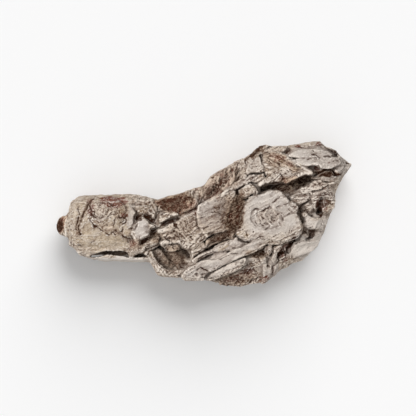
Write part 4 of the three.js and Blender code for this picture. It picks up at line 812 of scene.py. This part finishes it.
# dark zones: stained ground, such as the rust shoulders and the nub, and painted shade and shadow in the
# plugged vents, the eye, the neck's hollows and under the big plate's lower edge
dark_ground_and_shade = zoned(  # where the skin is dark all over
    0,
    (0.65, -11, 4, 8.5, 2.8, 8),  # rust shoulders
    (0.55, 12.8, 0.2, 2.8, 9, -14),  # the slope from the big plate
    (0.45, 8.5, 1, 4.5, 6, 20), (0.18, 27, -1, 4.5, 3), (0.55, 7.6, -8.6, 6.8, 2, 32),
    (0.35, 11, -26, 7, 2.6, 16), (0.45, 17.6, -22.6, 4.6, 1.4, 26), (0.4, -21.5, -7, 3, 2.4),
    (0.3, -12, -17.5, 6, 4.5), (0.2, -9, -7, 7, 4, 25), (0.8, -57.6, -4.4, 1.5, 3.2), (0.3, -22, 1.5, 4, 3),
    (0.7, -21.8, -1.2, 2.4, 1.4, -40), (0.65, -26, -1.4, 2, 1.4, -30), (0.65, -23.4, -10.6, 2.6, 1, 32),
    (0.75, 46.2, 2.6, 1.3, 3.6, -12), (0.5, 48, 5.4, 2.2, 1.3), (0.85, 34.8, -12, 3.2, 1, 62),
    (0.85, 30.6, -15.4, 2.2, 1, 30), (0.4, 21.6, -15.6, 3.6, 1, 15), (0.6, 20, 24.4, 4.6, 1.3, 32),
    (0.75, 48.8, 16.4, 6, 1.1, -8), (0.5, 43, -8.2, 2.6, 1.3, 25), (0.6, 5, 11, 8, 2.4, 40),
    (0.3, -4.6, -1.5, 2, 4, 20), (0.25, -46.8, -5.2, 3, 1.5, -30), (0.3, -44.6, 1, 1.6, 2.6),
    (0.35, -47.4, 1.6, 5, 0.8, 66), (0.25, -49.6, -5, 0.8, 3.4),
)
dark_ground_and_shade *= 1 + 0.2 * crumbs
height += relief * rough * (0.25 * strata + 0.2 * grain + 0.3 * scale - 0.3 * split + 0.15 * small_scale)
height += relief * (0.15 + 0.6 * rough) * layered * rise
height += relief * (0.03 + 0.18 * rough) * crumbs
dark = np.maximum(dark, 0.5 * rough * split)
# painted light on the layers: a painted shadow at each foot, a painted highlight on each crest and painted
# shade down each back
dark = np.maximum(dark, (0.25 + 0.7 * rough) * layered * foot)
pale = np.maximum(pale, (0.2 + 0.7 * rough) * layered * crest)
shade = np.maximum(shade, 0.7 * rough * layered * lee)
# painted light: pale is raised on the lip under the barrel, the ridges and the smooth lobes, slopes that face
# down and away from the key light, and lowered on the brow
spread(
    pale,
    (0.5, 41, -12, 8, 4.5, 25), (0.5, 45, -3, 4.5, 4.5), (0.65, -34, -18, 13, 1.5),
    (0.6, 10, -20.4, 9, 1.5, 24), (0.1, 45, 22.6, 9, 3, -3), (0.4, 8, -16.8, 9, 1.4, 24),
)
P = P + N * height[:, None]
low = np.array(cad_low) / MM
high = np.array(cad_high) / MM
P = np.clip(P, low + INSET, high - INSET)
N = normals()

# ---------------------------------------------------------------- how hidden each place is

REACHES = (0.5, 1.0, 1.7, 2.6, 3.8, 5.5, 8.0)  # how far off the skyline is looked for, in mm
DIRECTIONS = 12  # and in how many directions
CELL = 0.4  # size of the height map's cells, in mm
LEAST_FACING = 0.25  # how much of the axis a normal has, for its vertex to be looked at along that axis


def openness(chosen, axis, sign):
    """How much sky these vertices see along one axis, from 0 to 1, by the skyline of a height map."""
    across = [k for k in range(3) if k != axis]
    start = low[across] - max(REACHES)
    shape = np.ceil((high[across] + max(REACHES) - start) / CELL).astype(int) + 1
    skyline = np.full(shape, -99.0)
    spots = ((P[:, across] - start) / CELL).astype(int)
    np.maximum.at(skyline, (spots[:, 0], spots[:, 1]), sign * P[:, axis])
    place = P[chosen][:, across]
    own = sign * P[chosen, axis]
    total = np.zeros(len(own))
    for turn in np.linspace(0, 2 * math.pi, DIRECTIONS, endpoint=False):
        steepest = np.zeros(len(own))
        for reach in REACHES:
            there = place + reach * np.array([math.cos(turn), math.sin(turn)])
            spot = ((there - start) / CELL).astype(int)
            steepest = np.maximum(steepest, (skyline[spot[:, 0], spot[:, 1]] - own) / reach)
        total += 1 - steepest / np.hypot(1, steepest)
    spot = ((place - start) / CELL).astype(int)
    roofed = smooth(skyline[spot[:, 0], spot[:, 1]] - own, 0.8, 2.0)
    return total / DIRECTIONS * (1 - 0.8 * roofed)


seen = np.zeros(count)
shares = np.full(count, 1e-6)
for axis, sign in ((2, 1), (2, -1), (0, 1), (0, -1), (1, 1), (1, -1)):
    facing = sign * N[:, axis]
    chosen = np.flatnonzero(facing > LEAST_FACING)
    weight = (facing[chosen] - LEAST_FACING) ** 2
    seen[chosen] += weight * openness(chosen, axis, sign)
    shares[chosen] += weight
seen /= shares


def dip(rounds):
    """How far a place lies below its surroundings, in mm."""
    return np.einsum("ij,ij->i", averaged(P, rounds) - P, N)


small_dip = dip(3)
wide_dip = dip(30)
# painted shade: places that see little sky, wide dips and small dips are darkened in colour
hidden = smooth(0.72 - seen, 0, 0.5)
shade = np.maximum(shade, np.clip(0.6 * hidden + 0.45 * smooth(wide_dip, 0.1, 0.8), 0, 1))
dark = np.maximum(dark, 0.85 * smooth(small_dip, 0.02, 0.1))
# painted shade in the grooves of the grain
groove = smooth(-grain, -0.1, 0.5) * (0.2 + 0.8 * rough)
dark = np.maximum(dark, 0.85 * groove * smooth(crumbs, 0.4, -0.3))
shade = np.maximum(shade, 0.65 * groove)
# convex places, painted pale below: wear on the edges, and painted highlight along them
convexity = smooth(-small_dip, 0.015, 0.08) + 0.3 * smooth(-wide_dip, 0.1, 0.6)
pale *= 1 - 1.2 * dark_ground_and_shade
dark *= 1 - 0.4 * smooth(hidden, 0.4, 0.9)  # deep gaps are dark enough from the render's own shadow and the painted shade, without the darkest brown
crumb = smooth(crumbs, 0.3, 0.7) * bitty  # pale crumbs on dark ground
dark = np.maximum(dark, dark_ground_and_shade * (1 - crumb) * (1 - 0.15 * rust))
dark = np.maximum(dark, 0.6 * rough * smooth(-crumbs, 0.5, 0.9) * (1 - 0.5 * hidden))
shade = np.maximum(shade, dark_ground_and_shade * (1 - 0.6 * crumb))
pale = np.maximum(pale, 0.7 * smooth(dark_ground_and_shade, 0.1, 0.3) * crumb)
pale = np.maximum(pale, convexity * (1 - 0.85 * brown) * (1 - 0.6 * hidden))
strand = smooth(grain, 0.4, 0.8) * smooth(crumbs, -0.4, 0.3)
pale = np.maximum(pale, 0.85 * rough * strand * (1 - 0.7 * hidden) * (1 - 1.2 * dark_ground_and_shade))

for name, values in (
    ("dark", dark),
    ("shade", shade),
    ("pale", pale),
    ("rough", rough),
    ("rust", rust),
    ("ochre", ochre),
    ("brown", brown),
    ("light", light),
):
    written = mesh.attributes.new(name, "FLOAT", "POINT")
    written.data.foreach_set("value", np.clip(values, 0, 1).astype(np.float32))

# only what faces down has a weight in this group, so nothing else is thinned: fewer triangles go than are
# aimed at, about 350,000 are left, and the underside is coarse
under = body.vertex_groups.new(name="under")
buried = smooth(N[:, 2], 0.1, -0.5)
for weight in (0.25, 0.5, 0.75, 1.0):
    members = np.flatnonzero(np.abs(buried - weight) <= 0.125)
    under.add(members.tolist(), weight, "REPLACE")
decimate = body.modifiers.new("fewer", "DECIMATE")
decimate.vertex_group = "under"
decimate.vertex_group_factor = 1.0
mesh.calc_loop_triangles()
decimate.ratio = min(1.0, AIMED_TRIANGLES / len(mesh.loop_triangles))
apply_modifiers(body)
mesh = body.data
mesh.shade_smooth()
places = np.empty(len(mesh.vertices) * 3)
mesh.vertices.foreach_get("co", places)
places = np.clip(places.reshape(-1, 3), (low + INSET) * MM, (high - INSET) * MM)
mesh.vertices.foreach_set("co", places.ravel())

# ---------------------------------------------------------------- material


def srgb(r, g, b):
    """A colour as read off a screen, 0 to 255, as the linear values that a shader takes."""
    return tuple(
        (c / 255 / 12.92 if c <= 10 else ((c / 255 + 0.055) / 1.055) ** 2.4) for c in (r, g, b)
    ) + (1.0,)


# the material's colours are the iron's weathering, with painted shade and painted highlight
iron = bpy.data.materials.new("weathered_iron")
iron.use_nodes = True
tree = iron.node_tree
nodes, links = tree.nodes, tree.links
shader = nodes["Principled BSDF"]
shader.inputs["Roughness"].default_value = 0.8
shader.inputs["Specular IOR Level"].default_value = 0.08


def node(kind, **values):
    """A new node with these sockets and settings."""
    n = nodes.new(kind)
    for name, value in values.items():
        if name in n.inputs:
            n.inputs[name].default_value = value
        else:
            setattr(n, name, value)
    return n


def attribute(name):
    return node("ShaderNodeAttribute", attribute_name=name).outputs["Fac"]


def noise_node(scale_mm, detail=4.0, roughness=0.6, turn=None, distortion=0.0):
    """A noise pattern. turn is the way that it is stretched, in degrees, and how much."""
    coordinates = node("ShaderNodeTexCoord").outputs["Object"]
    if turn:
        degrees, stretch = turn
        mapping = node("ShaderNodeMapping", vector_type="TEXTURE")
        mapping.inputs["Rotation"].default_value = (0, 0, math.radians(degrees))
        mapping.inputs["Scale"].default_value = (stretch, 1, 1)
        links.new(coordinates, mapping.inputs["Vector"])
        coordinates = mapping.outputs["Vector"]
    n = node("ShaderNodeTexNoise", Scale=1000 / scale_mm, Detail=detail, Roughness=roughness)
    n.inputs["Distortion"].default_value = distortion
    links.new(coordinates, n.inputs["Vector"])
    return n.outputs["Fac"]


def ramp(source_socket, low_end, high_end):
    n = node("ShaderNodeMapRange", interpolation_type="SMOOTHSTEP")
    n.inputs["From Min"].default_value = low_end
    n.inputs["From Max"].default_value = high_end
    links.new(source_socket, n.inputs["Value"])
    return n.outputs["Result"]


def mixed(factor, a, b):
    n = node("ShaderNodeMix", data_type="RGBA")
    for socket, value in ((n.inputs[0], factor), (n.inputs[6], a), (n.inputs[7], b)):
        if isinstance(value, (tuple, float)):
            socket.default_value = value
        else:
            links.new(value, socket)
    return n.outputs[2]


def combined(operation, *values, clamped=True):
    n = node("ShaderNodeMath", operation=operation, use_clamp=clamped)
    for socket, value in zip(n.inputs, values):
        if isinstance(value, float):
            socket.default_value = value
        else:
            links.new(value, socket)
    return n.outputs[0]


def product(a, b):
    return combined("MULTIPLY", a, b)


def stained(amount, pattern, low_end=0.15, high_end=0.95):
    """An amount from 0 to 1 that comes and goes with a pattern where it is neither none nor all."""
    raised = combined("MULTIPLY_ADD", pattern, 0.7, amount, clamped=False)
    return ramp(raised, low_end + 0.35, high_end + 0.35)


def contour(pattern, width):
    """Thin lines along the middle contour of a pattern."""
    away = node("ShaderNodeMath", operation="COMPARE")
    away.inputs[1].default_value = 0.5
    away.inputs[2].default_value = width
    links.new(pattern, away.inputs[0])
    return away.outputs[0]


PALE = srgb(240, 231, 221)
STRAND = srgb(222, 198, 172)
GREY = srgb(199, 190, 182)
SAND = srgb(200, 181, 156)
UMBER = srgb(128, 105, 88)
RUST = srgb(112, 62, 46)
DARK_RUST_AND_RUST_SHADE = srgb(84, 42, 31)
OCHRE = srgb(152, 124, 80)
BROWN_STAIN_AND_SHADE = srgb(90, 59, 40)
DARK_STAIN_AND_SHADE = srgb(56, 31, 17)

grit = noise_node(1.1, 3.0, 0.75, turn=(STRIKE, 2.2), distortion=0.8)
speckle = ramp(noise_node(0.9, 5.0, 0.7), 0.3, 0.7)
streaks = ramp(noise_node(1.8, 5.0, 0.7, turn=(STRIKE, 2.4), distortion=0.5), 0.3, 0.7)
threads = noise_node(1.5, 4.0, 0.65, turn=(STRIKE, 2.6), distortion=0.8)
veins = noise_node(2.2, 3.0, 0.6, turn=(STRIKE, 2.0), distortion=1.2)
clouds = noise_node(6.0, 3.0, 0.55)
flecks = noise_node(2.6, 4.0, 0.7, turn=(STRIKE, 2.4), distortion=1.0)
dust = noise_node(0.55, 2.0, 0.6)

bright = mixed(attribute("brown"), PALE, STRAND)
murk = mixed(attribute("brown"), BROWN_STAIN_AND_SHADE, DARK_STAIN_AND_SHADE)
colour = mixed(ramp(combined("ADD", attribute("light"), clouds, clamped=False), 0.4, 1.5), SAND, GREY)
colour = mixed(product(stained(attribute("rough"), speckle, 0.5, 1.3), 0.5), colour, UMBER)
colour = mixed(product(stained(attribute("brown"), streaks), 0.9), colour, BROWN_STAIN_AND_SHADE)
colour = mixed(product(stained(attribute("ochre"), speckle, 0.3, 1.0), 0.8), colour, OCHRE)
colour = mixed(product(ramp(grit, 0.5, 0.63), ramp(attribute("rough"), -0.2, 1.1)), colour, murk)
colour = mixed(product(ramp(grit, 0.5, 0.37), ramp(attribute("rough"), -0.2, 1.8)), colour, bright)
colour = mixed(product(ramp(flecks, 0.52, 0.64), ramp(attribute("rough"), 0.0, 1.3)), colour, murk)
colour = mixed(product(ramp(flecks, 0.46, 0.34), ramp(attribute("rough"), 0.0, 1.6)), colour, bright)
colour = mixed(product(ramp(dust, 0.56, 0.75), 0.6), colour, UMBER)
colour = mixed(product(ramp(dust, 0.44, 0.25), 0.6), colour, bright)
# painted shade, and dark stains: the colour goes towards deep brown and near black where the shade attribute
# is high
colour = mixed(attribute("shade"), colour, mixed(ramp(attribute("shade"), 0.3, 0.9), BROWN_STAIN_AND_SHADE, DARK_STAIN_AND_SHADE))
# rust, darker where the shade attribute is high: painted shade on the rust, and its dark stained patches
colour = mixed(stained(attribute("rust"), streaks, 0.3, 0.9), colour, mixed(attribute("shade"), RUST, DARK_RUST_AND_RUST_SHADE))
colour = mixed(product(product(contour(veins, 0.03), attribute("rough")), 0.7), colour, BROWN_STAIN_AND_SHADE)
colour = mixed(product(product(contour(threads, 0.03), attribute("brown")), 0.6), colour, bright)
# pale: the stone's strands, crumbs and worn edges, and painted highlight on ledges, layer crests and slopes
# that face away from the key light
colour = mixed(product(attribute("pale"), 0.9), colour, bright)
# near black: cracks, splits and dark stains, and painted shade in hollows, pits, small dips, grain grooves
# and at the feet of layers
colour = mixed(ramp(combined("ADD", attribute("dark"), product(speckle, 0.3)), 0.35, 0.9), colour, DARK_STAIN_AND_SHADE)
links.new(colour, shader.inputs["Base Color"])

bump = node("ShaderNodeBump", Strength=1.0, Distance=0.0004)
links.new(noise_node(0.5), bump.inputs["Height"])
links.new(bump.outputs["Normal"], shader.inputs["Normal"])

mesh.materials.clear()
mesh.materials.append(iron)
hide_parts("meteorite")
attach(body, "root")

# ---------------------------------------------------------------- floor, light and camera

floor_mesh = bpy.data.meshes.new("floor")
floor_mesh.from_pydata([(-2, -2, 0), (2, -2, 0), (2, 2, 0), (-2, 2, 0)], [], [(0, 1, 2, 3)])
floor = bpy.data.objects.new("floor", floor_mesh)
bpy.context.collection.objects.link(floor)
paper = bpy.data.materials.new("paper")
paper.use_nodes = True
for name, value in (("Base Color", (0.93, 0.93, 0.93, 1)), ("Roughness", 1.0), ("Specular IOR Level", 0.0)):
    paper.node_tree.nodes["Principled BSDF"].inputs[name].default_value = value
floor_mesh.materials.append(paper)

scene = bpy.context.scene
scene.view_settings.view_transform = "Standard"
world = bpy.data.worlds.new("studio")
world.use_nodes = True
world.node_tree.nodes["Background"].inputs["Color"].default_value = (1, 1, 1, 1)
world.node_tree.nodes["Background"].inputs["Strength"].default_value = 0.4
scene.world = world


def soft_light(name, energy, degrees, towards, lit):
    """A wide light from far off, in this direction, that lights one object alone."""
    sun = bpy.data.lights.new(name, "SUN")
    sun.energy = energy
    sun.angle = math.radians(degrees)
    lamp = bpy.data.objects.new(name, sun)
    lamp.rotation_euler = Vector(towards).to_track_quat("Z", "Y").to_euler()
    bpy.context.collection.objects.link(lamp)
    receivers = bpy.data.collections.new(name + "_lights")
    receivers.objects.link(lit)
    lamp.light_linking.receiver_collection = receivers


# the lump has a key light from the upper left and a weak one overhead; the floor is lit from the back, so
# that the shadow falls towards the front, and weakly from the front
soft_light("overhead", 0.3, 80, (0.3, -0.4, 1), body)
soft_light("key", 2.53, 24, (-0.5, 0.22, 1), body)
soft_light("window", 3.05, 55, (0.45, 1.5, 1), floor)
soft_light("reflector", 0.45, 90, (0, -1, 1), floor)

CAMERA_HEIGHT = 1.2  # above the floor, in metres
MIDDLE = 0.012  # middle of the lump above the floor
FRAME = 0.1664  # width of the view at that height
SENSOR = 36
camera_data = bpy.data.cameras.new("camera")
camera_data.sensor_width = SENSOR
camera_data.lens = SENSOR * (CAMERA_HEIGHT - MIDDLE) / FRAME
camera = bpy.data.objects.new("camera", camera_data)
camera.location = (0.00158, 0.00245, CAMERA_HEIGHT)
bpy.context.collection.objects.link(camera)
scene.camera = camera
